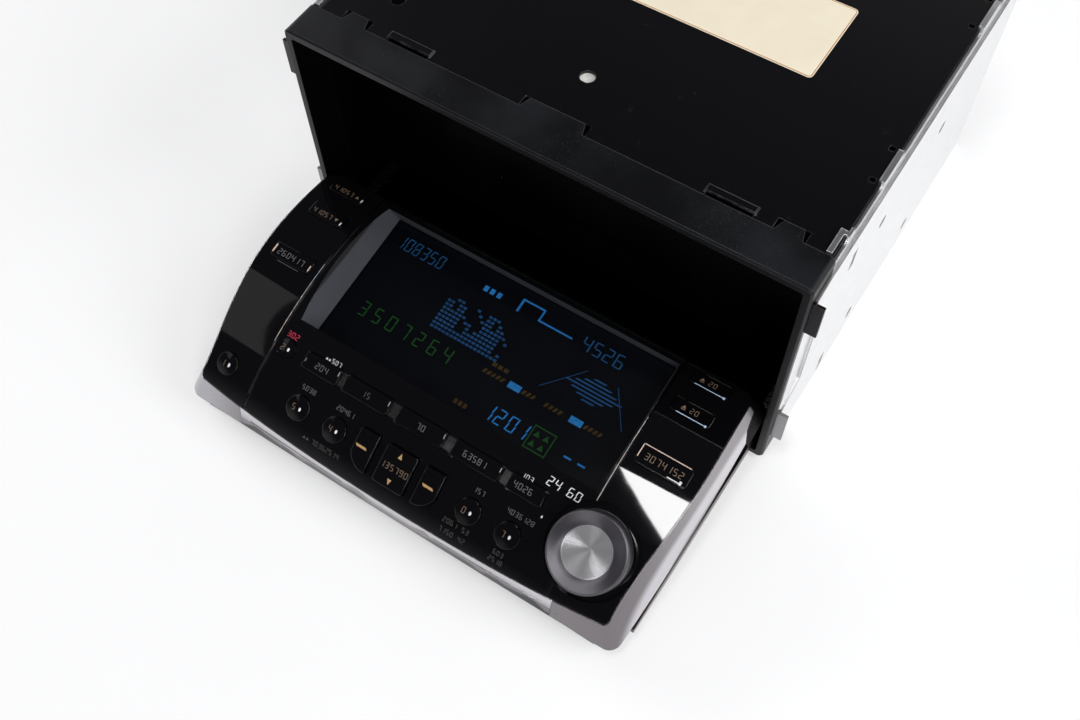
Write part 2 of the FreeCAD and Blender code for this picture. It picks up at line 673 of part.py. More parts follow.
def line_jacks():
    """Six round line sockets on one moulded block behind the rear panel."""
    margin = JACK_RADIUS + JACK_MARGIN
    base = block(JACK_COLUMNS[0] - margin, JACK_COLUMNS[-1] + margin, REAR_FRONT - JACK_BLOCK_DEPTH,
                 REAR_FRONT,
                 JACK_ROWS[0] - margin, JACK_ROWS[-1] + margin)
    barrels = []
    bores = []
    for x in JACK_COLUMNS:
        for z in JACK_ROWS:
            barrels.append(rod_y(x, REAR_FRONT - 1, CASE_BACK + JACK_PROUD, z, JACK_RADIUS))
            bores.append(rod_y(x, CASE_BACK, CASE_BACK + JACK_PROUD + 1, z, JACK_BORE))
    return joined([base] + barrels).cut(bores)


def screw(x, z, head_face, length, head_height):
    """Screw along Y whose head lies behind the given face."""
    shank = rod_y(x, head_face - length, head_face, z, SCREW_RADIUS)
    return joined([shank, rod_y(x, head_face, head_face + head_height, z, SCREW_HEAD_RADIUS)])


def case_screws():
    return Part.makeCompound([screw(x, z, REAR_BACK, CASE_SCREW_LENGTH, SCREW_HEAD_HEIGHT)
                              for x, z in case_screw_places()])


def main_board():
    return block(-MAIN_BOARD_HALF, MAIN_BOARD_HALF, MAIN_BOARD_FRONT, REAR_FRONT - SHEET - JOIN_GAP,
                 MAIN_BOARD_Z,
                 MAIN_BOARD_Z + BOARD_THICKNESS)


# Inner fascia

def fascia_slots():
    half = DISC_SLOT_WIDTH / 2
    reach = DISC_SLOT_HEIGHT / 2
    disc = rounded_plate(-half, half, DISC_SLOT_Z - reach, DISC_SLOT_Z + reach, reach * 0.9, 0,
                         2 * FASCIA_BACK)
    left = CARTRIDGE_X - CARTRIDGE_WIDTH / 2
    cartridge = rounded_plate(left, left + CARTRIDGE_WIDTH, CARTRIDGE_LOW, CARTRIDGE_HIGH, SHEET,
                              0, 2 * FASCIA_BACK)
    return [disc, cartridge]


def inner_fascia():
    """Box-shaped moulding: back wall with both slots, side and top liners of the cavity."""
    outer_half = OPENING_HALF + LINER_WALL
    top = OPENING_TOP + LINER_WALL
    wall = block(-outer_half, outer_half, FASCIA_FRONT, FASCIA_BACK, FASCIA_LOW, top)
    liner = block(OPENING_HALF, outer_half, FLOOR_FRONT, FASCIA_BACK, FASCIA_LOW, top)
    roof = block(-outer_half, outer_half, FLOOR_FRONT, FASCIA_BACK, OPENING_TOP, top)
    lip_half = DISC_SLOT_WIDTH / 2 + SLOT_LIP
    lip_reach = DISC_SLOT_HEIGHT / 2 + SLOT_LIP
    lip = rounded_plate(-lip_half, lip_half, DISC_SLOT_Z - lip_reach, DISC_SLOT_Z + lip_reach, SLOT_LIP,
                        FASCIA_FRONT - SHEET, FASCIA_FRONT)
    return joined([wall, roof, lip] + both_sides(liner)).cut(fascia_slots())


# Disc mechanism

def side_foot(inner, z, middle_y):
    """Flange from a mechanism's side out to the right-hand wall of the case."""
    half = SIDE_FOOT_LENGTH / 2
    return block(inner, INNER_HALF, middle_y - half, middle_y + half, z, z + SHEET)


def guide_rod_list():
    return [rod_x(SHEET - DISC_FRAME_HALF, -BUSH_WALL - 2 * SPINDLE_RADIUS - RUNNING, y, ROD_Z, ROD_RADIUS)
            for y in (TURNTABLE_Y - ROD_SPREAD, TURNTABLE_Y + ROD_SPREAD)]


def guide_rods():
    return Part.makeCompound(guide_rod_list())


def rod_keepers():
    """Blocks under the deck that hold both ends of each rod."""
    left = SHEET - DISC_FRAME_HALF
    right = -BUSH_WALL - 2 * SPINDLE_RADIUS - RUNNING
    low = ROD_Z - ROD_RADIUS - SHEET
    return [block(x, x + KEEPER_LENGTH, y - 2 * ROD_RADIUS, y + 2 * ROD_RADIUS, low, DECK_Z)
            for x in (left, right - KEEPER_LENGTH)
            for y in (TURNTABLE_Y - ROD_SPREAD, TURNTABLE_Y + ROD_SPREAD)]


def disc_frame():
    """Steel deck with turned-up sides, a window for the pickup and a flange to each wall."""
    half = DISC_FRAME_HALF
    back = DISC_FRAME_FRONT + DISC_FRAME_LENGTH
    deck = block(-half, half, DISC_FRAME_FRONT, back, DECK_Z, DECK_TOP)
    side = block(half - SHEET, half, DISC_FRAME_FRONT, back, DECK_Z, DECK_Z + DISC_FRAME_WALL)
    foot = side_foot(half, DECK_Z, DISC_FOOT_Y)
    bush = rod_z(0, TURNTABLE_Y, DECK_Z - BUSH_DROP, DECK_TOP, SPINDLE_RADIUS + BUSH_WALL)
    bore = rod_z(0, TURNTABLE_Y, 0, FAR, SPINDLE_RADIUS + RUNNING)
    slack = LENS_RADIUS + SHEET
    window = block(PICKUP_X - PICKUP_TRAVEL - slack, PICKUP_X + slack, TURNTABLE_Y - slack,
                   TURNTABLE_Y + slack,
                   0, FAR)
    roller_holes = rod_x(-half - 1, half + 1, ROLLER_Y, ROLLER_Z, ROLLER_PIVOT + RUNNING)
    frame = joined([deck, bush] + both_sides(side) + both_sides(foot) + rod_keepers())
    return frame.cut([window, bore, roller_holes] + guide_rod_list())


def pickup_sled():
    """Optical pickup on the two rods, with its lens in the deck's window."""
    body = block(PICKUP_X - PICKUP_LENGTH / 2, PICKUP_X + PICKUP_LENGTH / 2, TURNTABLE_Y - PICKUP_WIDTH / 2,
                 TURNTABLE_Y + PICKUP_WIDTH / 2, ROD_Z - ROD_RADIUS - SHEET, DECK_Z - JOIN_GAP)
    lens = rod_z(PICKUP_X, TURNTABLE_Y, DECK_Z - SHEET, DECK_TOP + JOIN_GAP, LENS_RADIUS)
    bores = [rod_x(-FAR, FAR, y, ROD_Z, ROD_RADIUS + RUNNING)
             for y in (TURNTABLE_Y - ROD_SPREAD, TURNTABLE_Y + ROD_SPREAD)]
    return joined([body, lens]).cut(bores)


def turntable():
    low = DECK_TOP + 2 * JOIN_GAP
    plate = rod_z(0, TURNTABLE_Y, low, low + TURNTABLE_PLATE, TURNTABLE_RADIUS)
    hub = rod_z(0, TURNTABLE_Y, low, low + TURNTABLE_PLATE + HUB_RISE, HUB_RADIUS)
    spindle = rod_z(0, TURNTABLE_Y, DECK_Z - BUSH_DROP, low + SHEET, SPINDLE_RADIUS)
    return joined([plate, hub, spindle])


def feed_roller():
    """Rubber roller that waists towards its middle, on a steel pivot."""
    cone = Part.makeCone(ROLLER_RADIUS - ROLLER_WAIST, ROLLER_RADIUS, ROLLER_LENGTH / 2, V(0, 0, 0), X_AXIS)
    body = joined(both_sides(cone))
    body.translate(V(0, ROLLER_Y, ROLLER_Z))
    return joined([body, rod_x(-DISC_FRAME_HALF, DISC_FRAME_HALF, ROLLER_Y, ROLLER_Z, ROLLER_PIVOT)])


# Cartridge mechanism

def cartridge_holder():
    """Flat steel box that takes the cartridge, with cheeks for the flap's pin and side flanges."""
    left = CARTRIDGE_X - HOLDER_HALF
    right = CARTRIDGE_X + HOLDER_HALF
    back = HOLDER_FRONT + CARTRIDGE_DEPTH + SHEET
    shell = block(left, right, HOLDER_FRONT, back, CARTRIDGE_LOW - SHEET, CARTRIDGE_HIGH + SHEET)
    hollow = block(left + SHEET, right - SHEET, HOLDER_FRONT - 1, back - SHEET, CARTRIDGE_LOW,
                   CARTRIDGE_HIGH)
    swing = block(left + SHEET, right - SHEET, HOLDER_FRONT - 1,
                  FLAP_PIN_Y + FLAP_PIN_Z - CARTRIDGE_LOW + SHEET, CARTRIDGE_Z, FAR)
    cheek_top = FLAP_PIN_Z + 2 * FLAP_PIN + RUNNING
    cheek_back = HOLDER_FRONT + CHEEK_THICKNESS
    pieces = [shell.cut([hollow, swing])]
    pieces.append(block(left - CHEEK_THICKNESS, left, FASCIA_BACK, cheek_back, CARTRIDGE_LOW, cheek_top))
    pieces.append(block(right, right + CHEEK_THICKNESS, FASCIA_BACK, cheek_back, CARTRIDGE_LOW, cheek_top))
    pieces.append(side_foot(right, CARTRIDGE_LOW - SHEET, HOLDER_FOOT_Y))
    pieces.append(mirrored(side_foot(-left, CARTRIDGE_LOW - SHEET, HOLDER_FOOT_Y)))
    return joined(pieces).cut(rod_x(-FAR, 2 * FAR, FLAP_PIN_Y, FLAP_PIN_Z, FLAP_PIN + RUNNING))


def cartridge_flap():
    """Door behind the cartridge slot, hung from a pin above it; it swings inwards."""
    half = CARTRIDGE_WIDTH / 2 - JOIN_GAP
    front = FLAP_PIN_Y - FLAP_THICKNESS
    leaf = block(CARTRIDGE_X - half, CARTRIDGE_X + half, front, FLAP_PIN_Y, CARTRIDGE_LOW + JOIN_GAP,
                 FLAP_PIN_Z)
    reach = HOLDER_HALF + CHEEK_THICKNESS
    pin = rod_x(CARTRIDGE_X - reach, CARTRIDGE_X + reach, FLAP_PIN_Y, FLAP_PIN_Z, FLAP_PIN)
    return joined([leaf, pin])


# Gears and racks

def tooth_flank(module, pitch_radius, teeth):
    """Radius and half-angle of one involute flank, from root side to tip, thinned by the slack."""
    pressure = math.radians(PRESSURE_ANGLE)
    base = pitch_radius * math.cos(pressure)
    tip = pitch_radius + module * TOOTH_ADDENDUM
    start = max(base, pitch_radius - module * TOOTH_DEDENDUM)
    half_at_pitch = math.pi / (2 * teeth) - TOOTH_SLACK / (2 * pitch_radius)
    half_at_base = half_at_pitch + math.tan(pressure) - pressure
    flank = []
    steps = 4
    for step in range(steps + 1):
        radius = start + (tip - start) * step / steps
        roll = math.acos(min(1.0, base / radius))
        flank.append((radius, half_at_base - math.tan(roll) + roll))
    return flank


def spur_gear(module, teeth, x0, width, y, z, first_tooth):
    """Spur gear about X; the first tooth's angle is measured from straight down towards +Y."""
    pitch_radius = module * teeth / 2
    flank = tooth_flank(module, pitch_radius, teeth)
    root = pitch_radius - module * TOOTH_DEDENDUM
    polar = []
    for tooth in range(teeth):
        middle = first_tooth + 2 * math.pi * tooth / teeth
        polar.append((root, middle - flank[0][1]))
        polar += [(r, middle - a) for r, a in flank]
        polar += [(r, middle + a) for r, a in reversed(flank)]
        polar.append((root, middle + flank[0][1]))
    return prism_x([(y + r * math.sin(a), z - r * math.cos(a)) for r, a in polar], x0, x0 + width)


def rack_gaps(front, back, phase):
    """Profiles of the gaps between rack teeth; one gap stands at the phase."""
    pitch = math.pi * RACK_MODULE
    slope = math.tan(math.radians(PRESSURE_ANGLE))
    half_at_line = (pitch / 2 + TOOTH_SLACK) / 2
    low = RACK_LINE - RACK_MODULE * TOOTH_DEDENDUM
    high = ARM_TOP + 1
    narrow = half_at_line - (RACK_LINE - low) * slope
    wide = half_at_line + (high - RACK_LINE) * slope
    gaps = []
    for number in range(math.ceil((front - phase) / pitch), math.floor((back - phase) / pitch) + 1):
        y = phase + number * pitch
        gaps.append([(y - narrow, low), (y + narrow, low), (y + wide, high), (y - wide, high)])
    return gaps


# Panel drive

def slider_arm():
    """Right-hand arm: a flat bar with a rack along its inner side, cranked inwards to a round ear."""
    bar_front = PIVOT_OPEN_Y + CRANK_SETBACK
    crank_back = bar_front + CRANK_LENGTH
    bar_back = SHAFT_Y + ARM_OVERRUN
    nose_low = ARM_TOP - ARM_NOSE_HEIGHT
    bar = prism_x([(bar_front, ARM_TOP), (bar_front, nose_low), (bar_front + ARM_NOSE_LENGTH, ARM_LOW),
                   (bar_back, ARM_LOW), (bar_back, ARM_TOP)], ARM_INNER, ARM_OUTER)
    crank = block(EAR_INNER, ARM_OUTER, bar_front, crank_back, nose_low, ARM_TOP)
    ear = rod_x(EAR_INNER, EAR_OUTER, PIVOT_OPEN_Y, PIVOT_Z, EAR_RADIUS)
    ear_low = PIVOT_Z - EAR_RADIUS
    web = prism_x([(PIVOT_OPEN_Y, PIVOT_Z), (PIVOT_OPEN_Y, ear_low), (bar_front, ear_low),
                   (bar_front, nose_low), (crank_back, nose_low), (crank_back, ARM_TOP),
                   (PIVOT_OPEN_Y + EAR_RADIUS, PIVOT_Z)], EAR_INNER, EAR_OUTER)
    rack_front = SHAFT_Y - PANEL_TRAVEL - RACK_OVERRUN
    rack_back = SHAFT_Y + RACK_OVERRUN
    rack = block(RACK_INNER, ARM_INNER, rack_front, bar_back, ARM_LOW, ARM_TOP)
    gaps = [prism_x(gap, RACK_INNER, ARM_INNER) for gap in rack_gaps(rack_front, rack_back, SHAFT_Y)]
    pin = rod_x(EAR_INNER - 1, EAR_OUTER + 1, PIVOT_OPEN_Y, PIVOT_Z, HINGE_PIN_RADIUS)
    return joined([bar, rack.cut(gaps), crank, ear, web]).cut(pin)


def arm_crossbar():
    """Flat bar that ties the two arms just behind the hinge."""
    y = PIVOT_OPEN_Y + CROSSBAR_SETBACK
    return block(-ARM_INNER, ARM_INNER, y - CROSSBAR_DEPTH / 2, y + CROSSBAR_DEPTH / 2, ARM_LOW,
                 ARM_LOW + CROSSBAR_HEIGHT)


def hinge_pins():
    """Two pins, one fixed in each arm's ear."""
    return Part.makeCompound(both_sides(rod_x(HINGE_PIN_INNER, EAR_OUTER, PIVOT_OPEN_Y, PIVOT_Z,
                                              HINGE_PIN_RADIUS)))


def drive_shaft():
    """Shaft across the case with a pinion over each arm's rack and the reduction gear."""
    pieces = [rod_x(-PINION_OUTER, PINION_OUTER, SHAFT_Y, SHAFT_Z, SHAFT_RADIUS)]
    for x in (-PINION_OUTER, PINION_OUTER - PINION_WIDTH):
        pieces.append(spur_gear(RACK_MODULE, PINION_TEETH, x, PINION_WIDTH, SHAFT_Y, SHAFT_Z, 0))
    pieces.append(spur_gear(GEAR_MODULE, GEAR_TEETH, GEAR_X, GEAR_WIDTH, SHAFT_Y, SHAFT_Z, math.pi / 2))
    return joined(pieces)


def motor_pinion():
    """Pinion and shaft of the drive motor; a tooth gap faces the reduction gear."""
    gap_forward = -math.pi / 2 + math.pi / MOTOR_TEETH
    gear = spur_gear(GEAR_MODULE, MOTOR_TEETH, GEAR_X, GEAR_WIDTH, MOTOR_Y, SHAFT_Z, gap_forward)
    shaft = rod_x(GEAR_X - MOTOR_LENGTH / 2, GEAR_X + GEAR_WIDTH, MOTOR_Y, SHAFT_Z, MOTOR_SHAFT)
    return joined([gear, shaft])


def drive_motor():
    """Small can motor lying along X on a cradle that stands on the floor."""
    right = GEAR_X - MOTOR_SETBACK
    left = right - MOTOR_LENGTH
    neck = SHEET
    can = rod_x(left, right, MOTOR_Y, SHAFT_Z, MOTOR_RADIUS)
    boss = rod_x(right - neck, right + neck, MOTOR_Y, SHAFT_Z, MOTOR_RADIUS / 3)
    cradle = block(left + 3 * neck, right - 3 * neck, MOTOR_Y - MOTOR_RADIUS * 0.7,
                   MOTOR_Y + MOTOR_RADIUS * 0.7,
                   SHEET, SHAFT_Z)
    bore = rod_x(GEAR_X - MOTOR_LENGTH / 2 - RUNNING, right + 2 * neck, MOTOR_Y, SHAFT_Z,
                 MOTOR_SHAFT + RUNNING)
    return joined([can, boss, cradle]).cut(bore)


# Front panel, drawn upright: z = 0 at the crown of its face, which stands at y = -FACE_CROWN

def between(first, second, share):
    return first + (second - first) * share


def outline_wire(y, inset):
    """Outline of the panel at one depth: bowed sides, a level upper edge and a bowed lower edge."""
    share = (y + FACE_CROWN) / (FACE_CROWN + PANEL_BACK)
    low, middle, top = [OPENING_HALF - between(*steps, share) - inset
                        for steps in (SIDE_STEPS_LOW, SIDE_STEPS_MIDDLE, SIDE_STEPS_TOP)]
    high = OPENING_TOP - CROWN_Z - between(*UPPER_STEPS, share) - inset
    bottom = FRAME_WALL - CROWN_Z + between(*LOWER_STEPS, share) + inset
    side = bottom + between(*LOWER_BOW, share)
    r = max(UPPER_CORNER - inset, LEAST_CORNER)
    k = r * (1 - math.sqrt(0.5))
    s = max(between(*LOWER_CORNERS, share) - inset, LEAST_CORNER)
    t = s * (1 - math.sqrt(0.5))
    right = Part.Arc(V(low, y, side + s), V(middle, y, 0), V(top, y, high - r)).toShape()
    upper_right = Part.Arc(V(top, y, high - r), V(top - k, y, high - k), V(top - r, y, high)).toShape()
    upper = Part.makeLine(V(top - r, y, high), V(r - top, y, high))
    upper_left = Part.Arc(V(r - top, y, high), V(k - top, y, high - k), V(-top, y, high - r)).toShape()
    left = Part.Arc(V(-top, y, high - r), V(-middle, y, 0), V(-low, y, side + s)).toShape()
    lower_left = Part.Arc(V(-low, y, side + s), V(t - low, y, side + t), V(s - low, y, side)).toShape()
    lower = Part.Arc(V(s - low, y, side), V(0, y, bottom), V(low - s, y, side)).toShape()
    lower_right = Part.Arc(V(low - s, y, side), V(low - t, y, side + t), V(low, y, side + s)).toShape()
    return Part.Wire([right, upper_right, upper, upper_left, left, lower_left, lower, lower_right])


def flared_block(inset):
    """Panel outline swept from in front of the crown to the back, widening towards the back."""
    lead = 2.0
    return Part.makeLoft([outline_wire(-FACE_CROWN - lead, inset), outline_wire(PANEL_BACK, inset)],
                         True, True)


def face_drum(radius):
    """Solid cylinder about the centre of the face's curve."""
    return Part.makeCylinder(radius, FAR, V(-CASE_WIDTH, FACE_CENTRE, 0), X_AXIS)


def face_layer(outer, inner):
    return face_drum(outer).cut(face_drum(inner))


def face_depth(height, under=0.0):
    """Depth of the curved face, or of a surface under it, at a height above its middle."""
    return FACE_CENTRE - math.sqrt((FACE_RADIUS - under) ** 2 - height ** 2)


def face_height(place):
    """Height above the face's middle of a place measured along its curve."""
    return FACE_RADIUS * math.sin(place / FACE_RADIUS)


def panel_body(inset, under_face, back=PANEL_BACK):
    """Flared block from a given depth under the curved face to its back."""
    slab = flared_block(inset).common(face_drum(FACE_RADIUS - under_face))
    return slab.common(block(-FAR, FAR, -FAR, back, -FAR, FAR))


def on_face(shape, place):
    """Turn a shape drawn at the face's middle to its place along the curve."""
    turned = shape.copy()
    turned.rotate(V(0, FACE_CENTRE, 0), X_AXIS, -math.degrees(place / FACE_RADIUS))
    return turned


def key_plug(x, width, height, grow):
    """Straight plug through the face at its middle, rounded at its corners."""
    half_w = width / 2 + grow
    half_h = height / 2 + grow
    return rounded_plate(x - half_w, x + half_w, -half_h, half_h, KEY_CORNER, -2 * FACE_CROWN, PANEL_BACK)


def round_plug(x, radius):
    return rod_y(x, -2 * FACE_CROWN, PANEL_BACK, 0, radius)


def select_outline(grow):
    """Boat-shaped outline of the select keys: level sides, bowed lower edge."""
    y = -2 * FACE_CROWN
    half = ROCKER_HALF + SELECT_DIVIDER + SELECT_SIDE_WIDTH + grow
    top = SELECT_HALF_HEIGHT + grow
    low = -top
    shoulder = low + SELECT_SHOULDER
    corner = half - SELECT_CORNER
    bow = (half - SELECT_CORNER / 3, low + SELECT_SHOULDER / 3)
    edges = [
        Part.makeLine(V(-half, y, top), V(half, y, top)),
        Part.makeLine(V(half, y, top), V(half, y, shoulder)),
        Part.Arc(V(half, y, shoulder), V(bow[0], y, bow[1]), V(corner, y, low)).toShape(),
        Part.makeLine(V(corner, y, low), V(-corner, y, low)),
        Part.Arc(V(-corner, y, low), V(-bow[0], y, bow[1]), V(-half, y, shoulder)).toShape(),
        Part.makeLine(V(-half, y, shoulder), V(-half, y, top)),
    ]
    plug = Part.Face(Part.Wire(edges)).extrude(V(0, 2 * FACE_CROWN + PANEL_BACK, 0))
    plug.translate(V(SELECT_X, 0, 0))
    return plug


def select_side_plug(side, grow):
    """Part of the boat-shaped outline beyond the rocker, on one side."""
    inner = ROCKER_HALF + SELECT_DIVIDER - grow
    band = block(SELECT_X + inner, SELECT_X + CASE_HALF, -FAR, FAR, -FAR, FAR)
    if side < 0:
        band = block(SELECT_X - CASE_HALF, SELECT_X - inner, -FAR, FAR, -FAR, FAR)
    return select_outline(grow).common(band)


def rocker_plug(grow):
    return key_plug(SELECT_X, 2 * ROCKER_HALF, 2 * SELECT_HALF_HEIGHT, grow)


def key_plugs(grow):
    """Every sliding key: its plug at the face's middle, and its place along the curve."""
    plugs = {}
    for name, (side, side_inset, top_inset, width, height) in CHEEK_KEYS.items():
        x = side * (FACE_HALF_WIDTH - side_inset)
        plugs[name] = (key_plug(x, width, height, grow), FACE_EDGE - top_inset)
    for number, (x0, x1) in enumerate(ROW_SPANS, 1):
        plugs[f"row_key_{number}"] = (key_plug((x0 + x1) / 2, x1 - x0, ROW_HEIGHT, grow), ROW_PLACE)
    for number, x in enumerate(ROUND_KEYS, 1):
        plugs[f"round_key_{number}"] = (round_plug(x, ROUND_KEY_RADIUS + grow), ROUND_PLACE)
    timer_x = TIMER_SIDE_INSET - FACE_HALF_WIDTH
    plugs["timer_key"] = (round_plug(timer_x, TIMER_RADIUS + grow), TIMER_INSET - FACE_EDGE)
    plugs["record_key"] = (round_plug(RECORD_X, RECORD_RADIUS + grow), RECORD_INSET - FACE_EDGE)
    plugs["select_left_key"] = (select_side_plug(-1, grow), SELECT_PLACE)
    plugs["select_right_key"] = (select_side_plug(1, grow), SELECT_PLACE)
    return plugs


def key_solids():
    """Caps that follow the face, each with a flange under the skin."""
    flange_layer = face_layer(FACE_RADIUS - FACE_SKIN - JOIN_GAP / 2, FACE_RADIUS - KEY_DEPTH)
    wide = key_plugs(KEY_FLANGE)
    solids = {}
    for name, (plug, place) in key_plugs(0.0).items():
        proud = SELECT_PROUD if name.startswith("select") else KEY_PROUD
        cap = plug.common(face_layer(FACE_RADIUS + proud, FACE_RADIUS - KEY_DEPTH))
        flange = wide[name][0].common(flange_layer)
        solids[name] = on_face(joined([cap, flange]), place)
    return solids


def cheek_key_rooms():
    """Space that the cheek keys and their flanges need down to the end of their travel."""
    depth = KEY_DEPTH + KEY_TRAVEL + SHELL_GAP
    layer = face_layer(FACE_RADIUS + 1, FACE_RADIUS - depth)
    plugs = key_plugs(KEY_FLANGE + KEY_GAP)
    return [on_face(plugs[name][0].common(layer), plugs[name][1]) for name in CHEEK_KEYS]


def select_rocker():
    cap = rocker_plug(0.0).common(face_layer(FACE_RADIUS + SELECT_PROUD, FACE_RADIUS - KEY_DEPTH))
    return on_face(cap, SELECT_PLACE)


def volume_knob():
    """Turned knob: dished front, stepped rim and the shaft that turns in the encoder's bush."""
    base = -FACE_CROWN - KNOB_LIFT
    front = base - KNOB_HEIGHT
    well = BUSH_RADIUS + JOIN_GAP * 3
    ceiling = -FACE_CROWN - BUSH_PROUD - JOIN_GAP
    shaft_end = ENCODER_SINK - FACE_CROWN - JOIN_GAP
    profile = [
        (0, front + KNOB_DISH_DEPTH), (KNOB_DISH_RADIUS, front + KNOB_DISH_DEPTH / 2),
        (KNOB_RADIUS - KNOB_RIM, front), (KNOB_RADIUS - KNOB_RIM / 3, front + KNOB_RIM / 2),
        (KNOB_RADIUS, front + KNOB_RIM * 1.3), (KNOB_RADIUS, base), (well, base), (well, ceiling),
        (KNOB_SHAFT_RADIUS, ceiling), (KNOB_SHAFT_RADIUS, shaft_end), (0, shaft_end),
    ]
    points = [V(x, y, 0) for x, y in profile]
    knob = Part.Face(Part.makePolygon(points + points[:1])).revolve(V(0, 0, 0), Y_AXIS, 360)
    knob.translate(V(KNOB_X, 0, 0))
    return on_face(knob, KNOB_PLACE)


def encoder():
    """Rotary encoder: a square block on the panel board with a bush around the knob's shaft."""
    half = ENCODER_SIDE / 2
    front = ENCODER_SINK - FACE_CROWN
    body = block(KNOB_X - half, KNOB_X + half, front, 2 * PANEL_BACK, -half, half)
    bush = rod_y(KNOB_X, -FACE_CROWN - BUSH_PROUD, front + 1, 0, BUSH_RADIUS)
    bore = rod_y(KNOB_X, -2 * FACE_CROWN, front, 0, KNOB_SHAFT_RADIUS + RUNNING)
    placed = on_face(joined([body, bush]).cut(bore), KNOB_PLACE)
    return placed.common(block(-FAR, FAR, -FAR, BOARD_FRONT, -FAR, FAR))


# Display

def window_edges():
    """Lower and upper edge of the display opening, as heights above the face's middle."""
    return face_height(WINDOW_BOTTOM), face_height(WINDOW_TOP)


def glass_depth(height):
    """Depth of the display window's front plane at a height."""
    low, high = window_edges()
    low_depth = face_depth(low) + GLASS_SINK_BOTTOM
    high_depth = face_depth(high) + GLASS_SINK_TOP
    return between(low_depth, high_depth, (height - low) / (high - low))


def display_slab(x0, x1, low, high, near, far):
    """Plate parallel to the display window, between two depths behind its front plane."""
    points = [(glass_depth(low) + near, low), (glass_depth(high) + near, high),
              (glass_depth(high) + far, high), (glass_depth(low) + far, low)]
    return prism_x(points, x0, x1)


def funnel_room(wall, under):
    """Space of the display recess and a wall round it, down to a distance under the window's top."""
    low, high = window_edges()
    return display_slab(WINDOW_LEFT - wall, WINDOW_RIGHT + wall, low - wall, high + wall, -3 * FACE_CROWN,
                        under)


def funnel_block():
    """Walls round the display recess, from the face down to the window."""
    return funnel_room(FUNNEL_WALL, 0).common(panel_body(TRIM_LIP, 0.0))


def funnel_cavity():
    """Recess that narrows from the opening in the face to the window."""
    low, high = window_edges()
    left = WINDOW_LEFT + GLASS_LEFT_STEP
    right = WINDOW_RIGHT - GLASS_RIGHT_STEP
    bottom = low + GLASS_BOTTOM_STEP
    top = high - GLASS_TOP_STEP
    pairs = [(WINDOW_LEFT, low, left, bottom), (WINDOW_RIGHT, low, right, bottom),
             (WINDOW_RIGHT, high, right, top), (WINDOW_LEFT, high, left, top)]
    inner = []
    outer = []
    for x, z, glass_x, glass_z in pairs:
        deep = V(glass_x, glass_depth(glass_z), glass_z)
        rise = V(x, face_depth(z), z) - deep
        inner.append(deep - rise * 0.2)
        outer.append(deep + rise * ((-2 * FACE_CROWN - deep.y) / rise.y))
    return Part.makeLoft([Part.makePolygon(inner + inner[:1]), Part.makePolygon(outer + outer[:1])],
                         True, True)


def display_glass():
    low, high = window_edges()
    return display_slab(WINDOW_LEFT - GLASS_LAND, WINDOW_RIGHT + GLASS_LAND, low - GLASS_LAND,
                        high + GLASS_LAND, RUNNING, GLASS_THICKNESS)


def display_module():
    low, high = window_edges()
    near = GLASS_THICKNESS + RUNNING
    return display_slab(WINDOW_LEFT, WINDOW_RIGHT, low, high, near, near + DISPLAY_THICKNESS)


# Skin, trims and shell of the panel

def seam_grooves():
    """Two fine grooves up the face, between its middle and its cheeks."""
    ring = face_layer(FACE_RADIUS + 1, FACE_RADIUS - SEAM_DEPTH)
    half = SEAM_WIDTH / 2
    return [ring.common(block(x - half, x + half, -FAR, 0, -FAR, FAR)) for x in SEAMS]


def screw_posts(radius):
    """Cylinders from the inside of the face to the panel board, one for each screw."""
    return [rod_y(x, -FACE_CROWN, BOARD_FRONT, z, radius) for x, z in PANEL_SCREWS]


def front_fascia():
    """Gloss skin of the panel with the display recess, the screw posts and every key's hole."""
    skin = panel_body(TRIM_LIP, 0.0).common(face_layer(FACE_RADIUS + 1, FACE_RADIUS - FACE_SKIN))
    posts = [post.common(face_drum(FACE_RADIUS - FACE_SKIN / 2)) for post in screw_posts(SCREW_POST_RADIUS)]
    body = joined([skin, funnel_block()] + posts)
    holes = [on_face(plug, place) for plug, place in key_plugs(KEY_GAP).values()]
    holes.append(on_face(rocker_plug(KEY_GAP), SELECT_PLACE))
    holes.append(on_face(round_plug(KNOB_X, BUSH_RADIUS + JOIN_GAP), KNOB_PLACE))
    moat = round_plug(KNOB_X, KNOB_RADIUS + MOAT_REACH)
    holes.append(on_face(moat.common(face_layer(FACE_RADIUS + 1, FACE_RADIUS - MOAT_DEPTH)), KNOB_PLACE))
    screw_front = PANEL_BACK - PANEL_SCREW_LENGTH
    screws = [rod_y(x, screw_front, PANEL_BACK, z, SCREW_RADIUS) for x, z in PANEL_SCREWS]
    return body.cut([funnel_cavity()] + holes + seam_grooves() + screws)


def fascia_seat():
    """Space that the gloss skin takes, with the joint gap round it."""
    slab = panel_body(TRIM_LIP - SHELL_GAP, -1.0)
    return slab.common(face_layer(FACE_RADIUS + 2, FACE_RADIUS - FACE_SKIN - RUNNING))


def ear_room(inner, outer):
    """Space round the right-hand ear as the panel turns."""
    return rod_x(inner, outer, PIVOT_DEPTH, -PIVOT_DROP, EAR_RADIUS + EAR_CLEARANCE)


def arm_notch():
    """Room for the right-hand arm's ear and crank, at the lower corner of the panel's back."""
    inner = EAR_INNER - ARM_SLACK
    sweep = block(inner, CASE_HALF, TRIM_BACK + ARM_SLACK, 2 * PANEL_BACK, -FAR, ARM_SWEEP - PIVOT_DROP)
    return joined([ear_room(inner, EAR_OUTER + ARM_SLACK), sweep])


def hinge_hole():
    return rod_x(HINGE_PIN_INNER - 1, EAR_OUTER, PIVOT_DEPTH, -PIVOT_DROP, HINGE_PIN_RADIUS + RUNNING)


